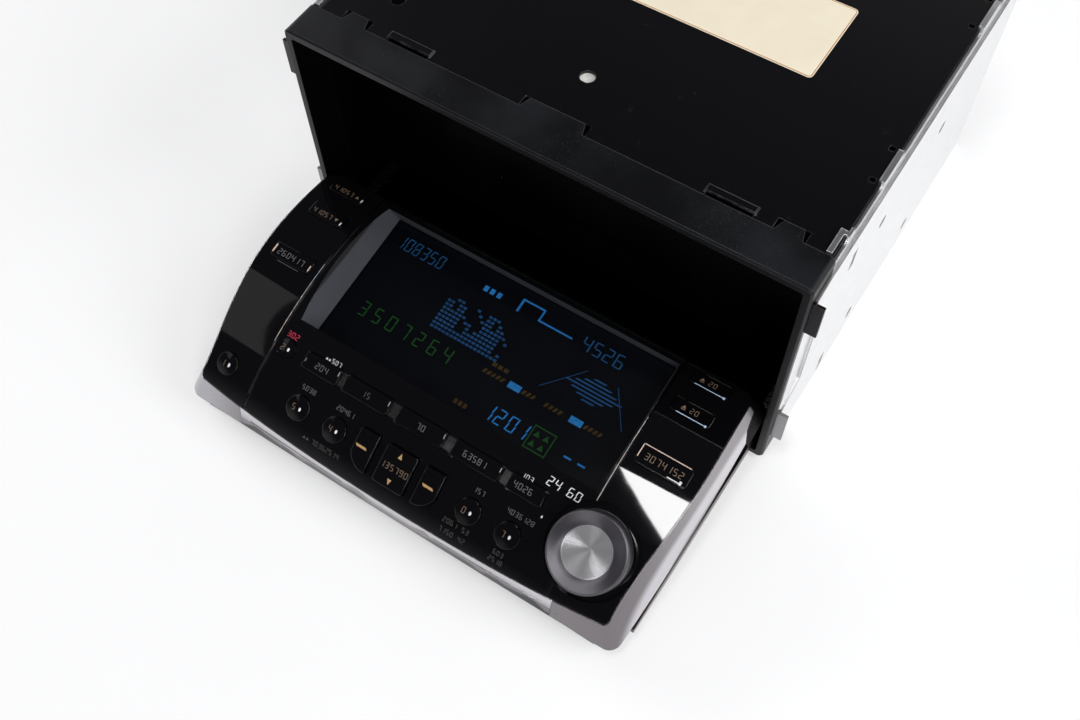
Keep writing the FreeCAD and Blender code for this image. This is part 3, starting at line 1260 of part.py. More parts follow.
def trim_end(x0, x1, slack):
    """Everything above the side trim's upper end, which steps down behind the face."""
    points = [(depth, PANEL_HIGH - drop + slack) for depth, drop in TRIM_END_STEPS]
    points.insert(0, (-2 * PANEL_BACK, points[0][1]))
    points.append((2 * PANEL_BACK, points[-1][1]))
    points += [(2 * PANEL_BACK, FAR), (-2 * PANEL_BACK, FAR)]
    return prism_x(points, x0, x1)


def trim_ring(wall):
    """Rim of the panel, as thick as the trim."""
    return panel_body(0.0, 0.0).cut(panel_body(wall, -1.0, 2 * PANEL_BACK))


def side_trim():
    """Right-hand silver trim: the panel's sloping side, carried round its lower corner."""
    keep = block(LOWER_TRIM_HALF, CASE_HALF, -FAR, TRIM_BACK, -FAR, FAR)
    return trim_ring(TRIM_WALL).common(keep).cut([fascia_seat(), trim_end(0, CASE_WIDTH, 0), arm_notch()])


def lower_trim():
    """Silver strip between the two corner pieces, with a groove along its outer parts."""
    half = LOWER_TRIM_HALF - SHELL_GAP
    strip = trim_ring(TRIM_WALL).common(block(-half, half, -FAR, TRIM_BACK, -FAR, 0)).cut(fascia_seat())
    back = TRIM_BACK - TRIM_GROOVE_SETBACK
    groove = trim_ring(TRIM_GROOVE_DEPTH).common(
        block(TRIM_GROOVE_INNER, half - TRIM_GROOVE_INSET, back - TRIM_GROOVE_WIDTH, back, -FAR, 0))
    return strip.cut(both_sides(groove))


def hinge_boss():
    """Boss for the right-hand hinge pin, on a foot that stands on the shell's back."""
    outer = EAR_INNER - ARM_SLACK
    radius = HINGE_PIN_RADIUS + HINGE_BOSS_WALL
    barrel = rod_x(HINGE_PIN_INNER, outer, PIVOT_DEPTH, -PIVOT_DROP, radius)
    foot = block(HINGE_PIN_INNER, outer, PIVOT_DEPTH, PANEL_BACK - SHELL_WALL / 2, -PIVOT_DROP - radius,
                 radius - PIVOT_DROP)
    return joined([barrel, foot])


def rear_shell():
    """Black rear housing: flat back, walls inside the trims, upper edge and hinge bosses."""
    outer = panel_body(TRIM_WALL + SHELL_GAP, FACE_SKIN + SHELL_GAP)
    inner = panel_body(TRIM_WALL + SHELL_GAP + SHELL_WALL, -2.0, PANEL_BACK - SHELL_WALL)
    upper_sides = trim_end(-CASE_WIDTH, CASE_WIDTH, SHELL_GAP)
    upper_middle = block(-LOWER_TRIM_HALF, LOWER_TRIM_HALF, -FAR, FAR, 0, FAR)
    over = joined([upper_sides, upper_middle])
    upper = trim_ring(TRIM_WALL + 2 * SHELL_GAP).common(over).cut(fascia_seat())
    shell = joined([outer.cut(inner), upper] + both_sides(hinge_boss().common(outer)))
    cuts = both_sides(arm_notch()) + both_sides(hinge_hole())
    cuts.append(funnel_room(FUNNEL_WALL + SHELL_GAP, SHELL_GAP))
    cuts += cheek_key_rooms()
    cuts += [rod_y(x, 0, 2 * PANEL_BACK, z, SCREW_RADIUS) for x, z in PANEL_SCREWS]
    return shell.cut(cuts)


def panel_board():
    """Circuit board against the shell's back, clear of the hinge bosses."""
    half = HINGE_PIN_INNER - 2 * BOARD_THICKNESS
    low = -PIVOT_DROP + HINGE_PIN_RADIUS + HINGE_BOSS_WALL + BOARD_THICKNESS
    board = block(-half, half, BOARD_FRONT, BOARD_BACK, low, PANEL_HIGH - PANEL_BOARD_MARGIN)
    return board.cut([rod_y(x, 0, 2 * PANEL_BACK, z, SCREW_RADIUS) for x, z in PANEL_SCREWS])


# Layers under the keys

def key_zone(names):
    """Straight block round a group of keys, seen from the front."""
    boxes = []
    for name, (plug, place) in key_plugs(KEY_FLANGE).items():
        if name in names:
            boxes.append(on_face(plug.common(face_layer(FACE_RADIUS, FACE_RADIUS - KEY_DEPTH)),
                                 place).BoundBox)
    return block(min(b.XMin for b in boxes) - ZONE_MARGIN, max(b.XMax for b in boxes) + ZONE_MARGIN,
                 -FAR, FAR,
                 min(b.ZMin for b in boxes) - ZONE_MARGIN, max(b.ZMax for b in boxes) + ZONE_MARGIN)


def under_keys(near, far):
    """Curved layer below the keys: left cheek, lower strip and right cheek."""
    names = list(key_plugs(0.0))
    left = [n for n in names if n in CHEEK_KEYS and CHEEK_KEYS[n][0] < 0] + ["timer_key"]
    right = [n for n in names if n in CHEEK_KEYS and CHEEK_KEYS[n][0] > 0]
    strip = [n for n in names if n not in CHEEK_KEYS and n != "timer_key"]
    zones = [key_zone(group) for group in (left, right, strip)]
    layer = face_layer(FACE_RADIUS - near, FACE_RADIUS - far)
    layer = layer.common(panel_body(TRIM_WALL + 2 * SHELL_GAP + SHELL_WALL, 0.0))
    layer = layer.common(zones[0].multiFuse(zones[1:]))
    hinges = both_sides(ear_room(HINGE_PIN_INNER - ARM_SLACK, CASE_HALF))
    return layer.cut(screw_posts(SCREW_POST_RADIUS + SHELL_GAP) + hinges)


def key_mat():
    near = KEY_DEPTH + KEY_TRAVEL + SHELL_GAP
    return Part.makeCompound(under_keys(near, near + MAT_THICKNESS).Solids)


def key_carrier():
    near = KEY_DEPTH + KEY_TRAVEL + SHELL_GAP + MAT_THICKNESS + RUNNING
    return Part.makeCompound(under_keys(near, near + CARRIER_THICKNESS).Solids)


def panel_screws():
    return Part.makeCompound([screw(x, z, PANEL_BACK, PANEL_SCREW_LENGTH, PANEL_SCREW_HEAD)
                              for x, z in PANEL_SCREWS])


# Whole object

def case_parts():
    """Every piece drawn where it stands."""
    bracket = side_bracket()
    arm = slider_arm()
    return {
        "chassis_tray": chassis_tray(),
        "top_cover": top_cover(),
        "front_frame": front_frame(),
        "side_bracket_right": bracket,
        "side_bracket_left": mirrored(bracket),
        "rear_panel": rear_panel(),
        "heat_sink": heat_sink(),
        "power_socket": power_socket(),
        "antenna_socket": antenna_socket(),
        "line_jacks": line_jacks(),
        "case_screws": case_screws(),
        "main_board": main_board(),
        "inner_fascia": inner_fascia(),
        "disc_frame": disc_frame(),
        "guide_rods": guide_rods(),
        "pickup_sled": pickup_sled(),
        "turntable": turntable(),
        "feed_roller": feed_roller(),
        "cartridge_holder": cartridge_holder(),
        "cartridge_flap": cartridge_flap(),
        "arm_right": arm,
        "arm_left": mirrored(arm),
        "arm_crossbar": arm_crossbar(),
        "hinge_pins": hinge_pins(),
        "drive_shaft": drive_shaft(),
        "motor_pinion": motor_pinion(),
        "drive_motor": drive_motor(),
    }


def panel_parts():
    """Every piece that swings with the panel, drawn upright."""
    trim = side_trim()
    parts = {
        "front_fascia": front_fascia(),
        "rear_shell": rear_shell(),
        "side_trim_right": trim,
        "side_trim_left": mirrored(trim),
        "lower_trim": lower_trim(),
        "display_glass": display_glass(),
        "display_module": display_module(),
        "panel_board": panel_board(),
        "key_mat": key_mat(),
        "key_carrier": key_carrier(),
        "encoder": encoder(),
        "panel_screws": panel_screws(),
        "volume_knob": volume_knob(),
        "select_rocker": select_rocker(),
    }
    parts.update(key_solids())
    return parts


def opened(shape):
    """Turn a panel piece about the hinge from upright to open and carry it out on the arms."""
    placed = shape.copy()
    placed.rotate(V(0, PIVOT_DEPTH, -PIVOT_DROP), X_AXIS, PANEL_OPEN_TILT - 90)
    placed.translate(V(0, PIVOT_OPEN_Y - PIVOT_DEPTH, CROWN_Z))
    return placed


def write_parts():
    os.makedirs("parts", exist_ok=True)
    shapes = case_parts()
    for name, shape in panel_parts().items():
        shapes[name] = opened(shape)
    for name, shape in shapes.items():
        placed = shape.copy()
        placed.translate(V(0, -UNDERSIDE_MIDDLE, 0))
        placed.exportStep(f"parts/{name}.step")
        print(name, len(placed.Solids), placed.isValid(), round(placed.Volume, 1))


write_parts()
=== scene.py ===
import json
import math

import bmesh
import bpy
from mathutils import Matrix, Vector

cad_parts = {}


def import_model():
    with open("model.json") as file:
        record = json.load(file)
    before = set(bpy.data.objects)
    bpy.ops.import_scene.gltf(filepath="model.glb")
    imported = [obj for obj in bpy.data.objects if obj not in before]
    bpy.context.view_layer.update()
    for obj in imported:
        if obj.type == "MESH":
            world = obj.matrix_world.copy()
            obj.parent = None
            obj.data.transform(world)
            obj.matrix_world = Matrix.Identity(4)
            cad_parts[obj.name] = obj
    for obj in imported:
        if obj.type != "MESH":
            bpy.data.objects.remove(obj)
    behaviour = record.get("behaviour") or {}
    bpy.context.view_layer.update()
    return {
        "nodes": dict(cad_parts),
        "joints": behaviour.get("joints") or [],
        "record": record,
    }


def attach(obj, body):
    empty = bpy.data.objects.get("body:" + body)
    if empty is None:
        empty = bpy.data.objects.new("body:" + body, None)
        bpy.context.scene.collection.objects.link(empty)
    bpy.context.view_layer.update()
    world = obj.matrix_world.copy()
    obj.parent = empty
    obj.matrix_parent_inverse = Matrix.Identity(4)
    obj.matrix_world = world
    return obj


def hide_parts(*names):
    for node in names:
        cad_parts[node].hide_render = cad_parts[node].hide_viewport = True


# Car stereo head unit with its front panel folded down. Metres, in the frame of the solids.
# The sizes written here are millimetres, and MM turns them into metres.
MM = 0.001
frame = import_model()
NODES = frame["nodes"]
BODY_OF = {node: body for body, nodes in frame["record"]["behaviour"]["bodies"].items() for node in nodes}
JOINTS = {joint["name"]: joint for joint in frame["joints"]}

# The panel is drawn upright about the crown of its face, and turned about its hinge.
OPEN_TURN = math.radians(-76)
HINGE = Vector(JOINTS["panel_hinge"]["pos_m"])
HINGE_DEPTH = 5.0
HINGE_DROP = 40.7
FACE_RADIUS = 106.3
FACE_CENTRE = 96.3
LEVEL_ERROR = 0.05
OUTWARD = 0.8
CREASE = 32

# Display opening: its sides, the height and depth of its lower and upper end, and the wall round it.
WINDOW_LEFT = -55.5
WINDOW_RIGHT = 56.8
WINDOW_LOW = (-9.66, -2.36)
WINDOW_HIGH = (38.47, 1.91)
WALL_SPREAD = 2.6
WALL_MARGIN = 0.5
GLASS_THICKNESS = 1.25

# Silver trims: depth of their flank, and how the lower one's painted reflection fades from the face to its
# painted shadow at the foot.
FLANK_DEPTH = 16.0
STRIP_FALL = 0.62
STRIP_SLOPE = 0.9
STRIP_LIMIT = 0.2
STRIP_SHADE = -0.3

# How far keys and print stand over the face, and the segments over the display's plate.
KEY_PROUD = 0.5
SELECT_PROUD = 1.6
PRINT_LIFT = 0.03
DOME_PRINT_LIFT = 0.06
SEGMENT_LIFT = 0.04

# Domes of the round keys, and of each key its place on the face, its radius and its figure.
DOME_RINGS = 12
DOME_STEPS = 40
DOME_GAP = 0.02
DOME_HEIGHT = 0.3
DOME_TILT = 5.0
DOME_SHOULDER = 3.0
ROUND_KEYS = {
    "round_key_1": (-41.3, -34.7, 4.0, "5"), "round_key_2": (-26.6, -34.7, 4.0, "4"),
    "round_key_3": (24.9, -34.7, 4.0, "0"), "round_key_4": (39.3, -34.7, 4.0, "7"),
    "timer_key": (-71.0, -34.3, 3.6, "11"), "record_key": (-54.6, -20.1, 3.2, "2"),
}
# Oval white beads on the keys and the face, which are painted highlights: length and height against their
# width.
BEAD_LENGTH = 1.6
BEAD_HEIGHT = 0.4

# Painted highlights along the seams beside the display: side, foot and top, drawn in short steps along the
# curve.
SEAMS = ((-60.0, -20.0, 11.0), (57.9, -12.0, 18.0))
SEAM_STEP = 2.0
SEAM_WIDTH = 0.2

# Ribbed strips between the keys of the row.
RIB_STRIPS = ((-33.0, -31.4), (-13.0, -10.5), (8.0, 10.5), (29.0, 31.2))
RIB_SIZE = (0.32, 4.4, 0.5)
RIB_PITCH = 0.62
RIB_PLACE = -19.8
RIB_START = 0.2
RIB_LIFT = 0.05

# Case: top of the cover and front of the frame, from which the depths in the case are counted.
COVER_TOP = 97.6
FRAME_FRONT = -85.6

# Label: left, right, front and back, its corner, and of each ring the inset and height over the cover.
LABEL_BOX = (-42.0, 54.4, 66.9, 99.5)
LABEL_CORNER = 1.5
CORNER_STEPS = 6
LABEL_RINGS = ((0.0, 0.01), (0.0, 0.1), (0.25, 0.12), (0.6, 0.12))

# Stops under the round holes of the cover.
PAD_PLACES = ((-1.0, 33.0), (-67.0, 29.0))
PAD_FOOT = 3.2
PAD_TOP = 3.0
PAD_HEIGHT = 1.2
PAD_DEPTH = 1.8
PAD_ROUND = 0.15

# Contacts of the power socket.
PIN_SIZE = (0.9, 9.0, 0.9)
PIN_COUNT = 8
PIN_PITCH = 4.0
PIN_HEIGHTS = (21.0, 27.0)
FIRST_PIN = -59.0
PIN_DEPTH = 153.0

# Felt lip of the disc slot; its wave is given per metre.
LIP_WIDTH = 124.0
LIP_HEIGHT = 1.3
LIP_THICKNESS = 0.5
LIP_DEPTH = 30.9
LIP_LEVEL = 67.8
LIP_WAVE = 0.08
LIP_WAVES = 900

# Camera and studio. Camera and lamps are in metres and degrees, the floor's fade is in millimetres.
CAMERA_TURN = (59.563, 34.686, -1.801)
CAMERA_PLACE = (0.12795, -0.26798, 0.36128)
CAMERA_LENS = 40.38
FLOOR_RADIUS = 4.0
FLOOR_GLOW = 0.42
FLOOR_FADE = (650.0, 1500.0)
CEILING = (0.22, 0.55)
WHITE = (1.0, 1.0, 1.0)

# Where a pattern of a finish starts and is full: on edges and upward faces as a cosine, else in millimetres.
# The bands of the trims, ears, tray and recess wall bound painted reflection and painted shade.
EDGE_TURN = (0.995, 0.93)
UPWARD = (0.5, 0.95)
TRIM_ENDS = (-55.0, -78.0)
EARS_FRONT = (-82.2, -82.6)
EARS_HEIGHT = (35.0, 65.0)
TRAY_INSIDE = (88.3, 88.1)
TRAY_FLOOR = (0.3, 0.7)
TRAY_TOP = (70.0, 60.0)
TRAY_FRONT = (-20.0, -30.0)
LIT_WALL = (-56.75, -56.25)
KNOB_RIM = (7.6, 8.0)


def panel_point(x, depth, height):
    """A point of the upright panel, in the frame of the solids with the panel open."""
    y = depth - HINGE_DEPTH
    z = height + HINGE_DROP
    turned_y = y * math.cos(OPEN_TURN) - z * math.sin(OPEN_TURN)
    turned_z = y * math.sin(OPEN_TURN) + z * math.cos(OPEN_TURN)
    return Vector((x * MM, HINGE.y + turned_y * MM, HINGE.z + turned_z * MM))


def face_point(x, place, lift=0.0):
    """A point over the curved face, by its place along the curve from the crown."""
    turn = place / FACE_RADIUS
    radius = FACE_RADIUS + lift
    return panel_point(x, FACE_CENTRE - radius * math.cos(turn), radius * math.sin(turn))


def window_point(x, height, lift=0.0):
    """A point on the display behind its glass."""
    share = (height - WINDOW_LOW[0]) / (WINDOW_HIGH[0] - WINDOW_LOW[0])
    depth = WINDOW_LOW[1] + share * (WINDOW_HIGH[1] - WINDOW_LOW[1])
    return panel_point(x, depth + GLASS_THICKNESS - lift, height)


# Shaders

class Shade:
    """One value or colour of a tree of nodes. Sums written on it become Math nodes."""

    def __init__(self, nodes, socket):
        self.nodes = nodes
        self.socket = socket

    def maths(self, operation, *values, clamp=False):
        """A Math node with all its values, each a number or a shade."""
        return self.nodes.make("ShaderNodeMath", {"operation": operation, "use_clamp": clamp},
                               dict(enumerate(values)))

    def __add__(self, other):
        return self.maths("ADD", self, other)

    def __radd__(self, other):
        return self.maths("ADD", other, self)

    def __sub__(self, other):
        return self.maths("SUBTRACT", self, other)

    def __rsub__(self, other):
        return self.maths("SUBTRACT", other, self)

    def __mul__(self, other):
        return self.maths("MULTIPLY", self, other)

    def __rmul__(self, other):
        return self.maths("MULTIPLY", other, self)

    def put_through(self, operation):
        """The value after a Math node that takes one value, such as its root."""
        return self.maths(operation, self)

    def clipped(self):
        """The value held between 0 and 1."""
        return self.maths("ADD", self, 0.0, clamp=True)

    def band(self, low, high):
        """0 below low and 1 above high, smooth between them; low may be the larger."""
        return self.nodes.make("ShaderNodeMapRange", {"interpolation_type": "SMOOTHSTEP"},
                               {"Value": self, "From Min": low, "From Max": high})


class Nodes:
    """Adds nodes to a tree and joins them."""

    def __init__(self, tree):
        self.tree = tree

    def join(self, value, socket):
        """Links a shade to a socket, or sets the socket to a number, colour or vector."""
        if isinstance(value, Shade):
            self.tree.links.new(value.socket, socket)
        elif isinstance(value, tuple) and len(value) == 3 and socket.type == "RGBA":
            socket.default_value = (*value, 1.0)
        else:
            socket.default_value = value

    def make(self, kind, settings=None, sockets=None, output=0):
        """Adds any node by its kind, sets it up, joins its sockets and gives one output."""
        node = self.tree.nodes.new(kind)
        for name, value in (settings or {}).items():
            setattr(node, name, value)
        for name, value in (sockets or {}).items():
            self.join(value, node.inputs[name])
        return Shade(self, node.outputs[output])

    def mix(self, a, b, share):
        """Colour between two colours."""
        return self.make("ShaderNodeMix", {"data_type": "RGBA"}, {0: share, 6: a, 7: b}, 2)

    def axis(self, vector, index):
        """One of the three numbers of a vector."""
        return self.make("ShaderNodeSeparateXYZ", {}, {0: vector}, index)


class Finish(Nodes):
    """A material with its own tree of nodes."""

    def __init__(self, name, colour, **levels):
        self.material = bpy.data.materials.new(name)
        self.material.use_nodes = True
        super().__init__(self.material.node_tree)
        self.surface = self.tree.nodes["Principled BSDF"]
        self.surface.inputs["Base Color"].default_value = (*colour, 1.0)
        for level, value in levels.items():
            self.surface.inputs[level.replace("_", " ").title().replace("Ior", "IOR")].default_value = value

    def place(self, *scale):
        """Object coordinates in millimetres, stretched by a scale for each axis."""
        point = self.make("ShaderNodeTexCoord", output="Object")
        size = tuple(share / MM for share in (scale or (1.0, 1.0, 1.0)))
        return self.make("ShaderNodeMapping", {}, {"Vector": point, "Scale": size})

    def noise(self, size, detail=2.0, roughness=0.5, stretch=(1.0, 1.0, 1.0), distortion=0.0):
        """Cloudy pattern from 0 to 1, with blobs of about a size in millimetres."""
        return self.make("ShaderNodeTexNoise", {}, {
            "Vector": self.place(*stretch), "Scale": 1.0 / size, "Detail": detail, "Roughness": roughness,
            "Distortion": distortion})

    def cells(self, size, output="Distance"):
        """Distance to the middle of the nearest cell, or a colour for each cell."""
        return self.make("ShaderNodeTexVoronoi", {}, {"Vector": self.place(), "Scale": 1.0 / size}, output)

    def rounded(self, radius):
        """Normal that turns softly over an edge."""
        return self.make("ShaderNodeBevel", {"samples": 4}, {"Radius": radius * MM})

    def edges(self, radius):
        """1 on the edges of a piece and 0 on its flats."""
        flat = self.make("ShaderNodeNewGeometry", output="Normal")
        same = self.make("ShaderNodeVectorMath", {"operation": "DOT_PRODUCT"},
                         {0: self.rounded(radius), 1: flat}, "Value")
        return same.band(*EDGE_TURN)

    def upward(self):
        """1 where a surface faces up, where dust lies."""
        flat = self.make("ShaderNodeNewGeometry", output="Normal")
        return self.axis(flat, 2).band(*UPWARD)

    def bump(self, height, depth, radius=0.0, strength=1.0):
        """Normal raised by a height of a depth in millimetres, over edges rounded by a radius."""
        sockets = {"Height": height, "Distance": depth * MM, "Strength": strength}
        if radius:
            sockets["Normal"] = self.rounded(radius)
        return self.make("ShaderNodeBump", {}, sockets)

    def wear(self, **values):
        """Joins values to the surface by the names of its sockets."""
        for name, value in values.items():
            self.join(value, self.surface.inputs[name.replace("_", " ").title()])
        return self.material


def gloss_black(name, colour, edge):
    """Piano gloss with fine dust, faint wiping marks and slightly uneven polish."""
    f = Finish(name, colour, roughness=0.05, coat_weight=0.35, coat_roughness=0.02)
    dust = f.noise(0.16, 1.0).band(0.76, 0.84) * f.noise(9.0).band(0.45, 0.7)
    wiping = f.noise(5.0, 3.0, 0.6, (0.15, 1.0, 1.0)).band(0.5, 0.8)
    return f.wear(
        base_color=f.mix(colour, (0.16, 0.16, 0.17), dust * 0.3),
        roughness=0.035 + wiping * 0.05 + dust * 0.3,
        normal=f.bump(f.noise(14.0, 1.0), 0.02, edge))


def silver_paint():
    """Silver metallic paint with fine flakes, and painted reflection: dark near the face, pale down the
    flank, with painted shadow making it black at the edge.
    """
    f = Finish("silver_paint", (0.42, 0.4, 0.42), metallic=0.9, roughness=0.3, coat_weight=0.3,
               coat_roughness=0.08)
    fall = f.make("ShaderNodeAttribute", {"attribute_name": "fall"}, output="Fac")
    flakes = f.cells(0.09, output="Color")
    glint = f.axis(flakes, 0)
    cloud = f.noise(12.0, 3.0)
    scuff = f.noise(2.5, 4.0, 0.7, (1.0, 0.2, 1.0)).band(0.62, 0.7)
    # Painted reflection: dark near the face and lighter towards the left end, then pale down the flank.
    painted_inner_reflection = f.mix((0.19, 0.173, 0.187), (0.42, 0.41, 0.44), f.axis(f.place(), 0).band(*TRIM_ENDS))
    flank = f.mix(painted_inner_reflection, (0.62, 0.6, 0.64), fall.band(0.34, 0.62) * fall.band(1.0, 0.9))
    # Painted shadow: black at the foot of the lower trim.
    edge = f.mix(flank, (0.012, 0.011, 0.014), fall.band(-0.02, -0.12))
    paint = f.mix(edge, (0.1, 0.1, 0.11), glint * 0.16 + scuff * 0.2)
    return f.wear(
        base_color=paint,
        roughness=0.16 + cloud * 0.06 + scuff * 0.15,
        normal=f.bump(glint, 0.002, 0.35))


def frame_plastic():
    """Black satin plastic of the front frame, with dust on its top and paler rubbed edges that are partly a
    painted edge highlight.
    """
    f = Finish("frame_plastic", (0.006, 0.007, 0.009), roughness=0.42, specular_ior_level=0.2)
    grain = f.cells(0.35)
    dust = f.noise(0.45, 3.0, 0.7).band(0.56, 0.74) * f.noise(16.0, 2.0).band(0.42, 0.66) * f.upward()
    film = f.noise(24.0, 3.0).band(0.3, 0.8) * f.upward()
    # Paler edges: rubbed wear, and in part a painted highlight along the edges.
    rubbed = f.edges(0.5) * (0.5 + f.noise(3.0, 3.0) * 0.8)
    shade = f.mix((0.0012, 0.0014, 0.002), (0.0035, 0.0042, 0.0062), film)
    shade = f.mix(shade, (0.13, 0.14, 0.16), dust * 0.25)
    return f.wear(
        base_color=f.mix(shade, (0.05, 0.052, 0.062), rubbed * 0.45),
        roughness=0.36 + film * 0.18 + dust * 0.2,
        normal=f.bump(grain, 0.03, 0.45, 0.5))


def cover_paint():
    """Black paint on the cover: fine orange peel, dust, and a few handled patches."""
    f = Finish("cover_paint", (0.003, 0.003, 0.004), roughness=0.34, specular_ior_level=0.25)
    peel = f.noise(0.8, 2.0)
    dust = f.noise(0.28, 2.0, 0.7).band(0.7, 0.8) * f.noise(12.0, 2.0).band(0.48, 0.7)
    smear = f.noise(7.0, 5.0, 0.75, (1.0, 1.6, 1.0), 1.2).band(0.63, 0.75)
    rubbed = f.edges(0.3) * f.noise(2.0, 3.0).band(0.35, 0.7)
    shade = f.mix((0.0012, 0.0012, 0.002), (0.10, 0.10, 0.11), dust * 0.3)
    shade = f.mix(shade, (0.014, 0.014, 0.017), smear * 0.5)
    return f.wear(
        base_color=f.mix(shade, (0.3, 0.3, 0.31), rubbed * 0.3),
        roughness=0.3 + smear * 0.16 + dust * 0.25,
        normal=f.bump(peel, 0.012, 0.3, 0.6))


def zinc_steel(name="zinc_steel", colour=(0.87, 0.875, 0.88), painted=False, ears=False):
    """Zinc-plated sheet: cloudy plating, rolling streaks and brownish sheared edges, which are in part
    painted shade at edges and slot rims.

    A painted sheet is given painted shade, black inside behind the front; on ears a painted shade makes them
    duller and darker upwards.
    """
    f = Finish(name, colour, metallic=1.0, roughness=0.3)
    cloud = f.noise(6.0, 4.0, 0.6)
    streak = f.noise(0.5, 2.0, 0.5, (1.0, 0.04, 1.0))
    stain = f.noise(15.0, 5.0, 0.7).band(0.62, 0.75)
    # Brownish edges: sheared edge colour, and in part painted shade along edges and slot rims.
    sheared = f.edges(0.35)
    dark = tuple(c * 0.8 for c in colour)
    shade = f.mix(f.mix(dark, colour, cloud), (0.55, 0.52, 0.47), stain * 0.4)
    spot = f.place()
    # Painted shade on the ears: duller, and darker upwards.
    if ears:
        upper = f.mix((0.3, 0.3, 0.31), (0.035, 0.035, 0.04), f.axis(spot, 2).band(*EARS_HEIGHT))
        shade = f.mix(shade, upper, f.axis(spot, 1).band(*EARS_FRONT))
    # Painted shade: black inside the tray behind the front.
    if painted:
        inner = f.axis(spot, 0).put_through("ABSOLUTE").band(*TRAY_INSIDE)
        bottom = f.axis(spot, 2).band(*TRAY_FLOOR) * f.axis(spot, 2).band(*TRAY_TOP)
        shade = f.mix(shade, (0.004, 0.004, 0.005), inner * bottom * f.axis(spot, 1).band(*TRAY_FRONT))
    return f.wear(
        base_color=f.mix(shade, (0.11, 0.07, 0.055), sheared * (0.0 if painted else 0.75)),
        roughness=0.22 + cloud * 0.12 + streak * 0.08 + stain * 0.1,
        normal=f.bump(streak, 0.004, 0.3))


def inner_plastic():
    """Moulded black plastic, half matt, with a fine spark-eroded texture."""
    f = Finish("inner_plastic", (0.004, 0.004, 0.005), roughness=0.22, ior=1.06)
    grain = f.noise(0.25, 2.0)
    flow = f.noise(18.0, 3.0, 0.5, (1.0, 1.0, 0.3))
    return f.wear(
        base_color=f.mix((0.0006, 0.0006, 0.0008), (0.002, 0.002, 0.0025), flow),
        roughness=0.16 + flow * 0.12,
        normal=f.bump(grain, 0.004, 0.3, 0.5))


def recess_wall_painted_shade():
    """Satin wall round the display, with painted shade on its outer left part and lighter where it catches
    the light from the side.
    """
    f = Finish("recess_wall_painted_shade", (0.035, 0.037, 0.046), roughness=0.42)
    cloud = f.noise(11.0, 3.0)
    lint = f.noise(0.3, 1.0).band(0.74, 0.82)
    # Painted shade: the wall is dark left of this band.
    lit = f.axis(f.place(), 0).band(*LIT_WALL)
    satin = f.mix((0.03, 0.031, 0.038), (0.046, 0.049, 0.06), cloud)
    satin = f.mix((0.002, 0.002, 0.003), satin, lit)
    return f.wear(
        base_color=f.mix(satin, (0.16, 0.16, 0.17), lint * lit * 0.4),
        roughness=0.36 + cloud * 0.14)


def painted_seam_highlight():
    """Painted highlight along the seams beside the display: blue at its ends and warm between."""
    f = Finish("painted_seam_highlight", (0.6, 0.6, 0.6), roughness=0.3)
    slow = f.noise(9.0, 2.0, 0.5)
    fine = f.noise(1.5, 3.0, 0.6).band(0.25, 0.6)
    warm = f.mix((0.28, 0.34, 0.42), (0.55, 0.44, 0.38), slow.band(0.4, 0.55))
    return f.wear(base_color=f.mix((0.12, 0.13, 0.15), warm, fine), roughness=0.28 + slow * 0.1)


def key_plate():
    """Gloss of the keys, a little greyer and more handled than the face."""
    return gloss_black("key_plate", (0.0018, 0.0018, 0.0022), 0.28)


def smoked_glass():
    """Smoked window: mostly dark, clear enough to show what is lit behind it."""
    f = Finish("smoked_glass", (0.002, 0.002, 0.003), roughness=0.04, alpha=0.5, ior=1.46)
    smear = f.noise(10.0, 4.0, 0.6).band(0.45, 0.75)
    lint = f.noise(0.2, 1.0).band(0.78, 0.83)
    return f.wear(
        base_color=f.mix((0.001, 0.001, 0.002), (0.1, 0.1, 0.11), lint * 0.3),
        roughness=0.03 + smear * 0.05,
        alpha=0.36 + smear * 0.04 + lint * 0.3)


def display_plate():
    """Face of the segment display: blue-black glass with a fine electrode grid."""
    f = Finish("display_plate", (0.004, 0.006, 0.009), roughness=0.25)
    across = f.axis(f.place(), 0)
    lines = (across * 2.2).put_through("FRACT").band(0.1, 0.0)
    haze = f.noise(26.0, 2.0)
    shade = f.mix((0.002, 0.003, 0.005), (0.007, 0.010, 0.018), haze)
    return f.wear(
        base_color=f.mix(shade, (0.02, 0.024, 0.03), lines * 0.4),
        roughness=0.2 + haze * 0.1)


def circuit_board():
    """Green solder mask over copper tracks, with tinned pads."""
    f = Finish("circuit_board", (0.01, 0.09, 0.035), roughness=0.32)
    across = f.axis(f.place(), 0) * 0.55 + f.noise(9.0, 1.0) * 1.5
    track = across.put_through("FRACT").band(0.55, 0.6) * f.cells(6.0).band(0.2, 0.25)
    pad = f.cells(3.1).band(0.16, 0.12)
    shade = f.mix((0.006, 0.06, 0.022), (0.02, 0.15, 0.05), track)
    return f.wear(
        base_color=f.mix(shade, (0.75, 0.73, 0.68), pad),
        metallic=pad,
        roughness=0.34 - pad * 0.08 + f.noise(4.0) * 0.1,
        normal=f.bump(track + pad, 0.03))


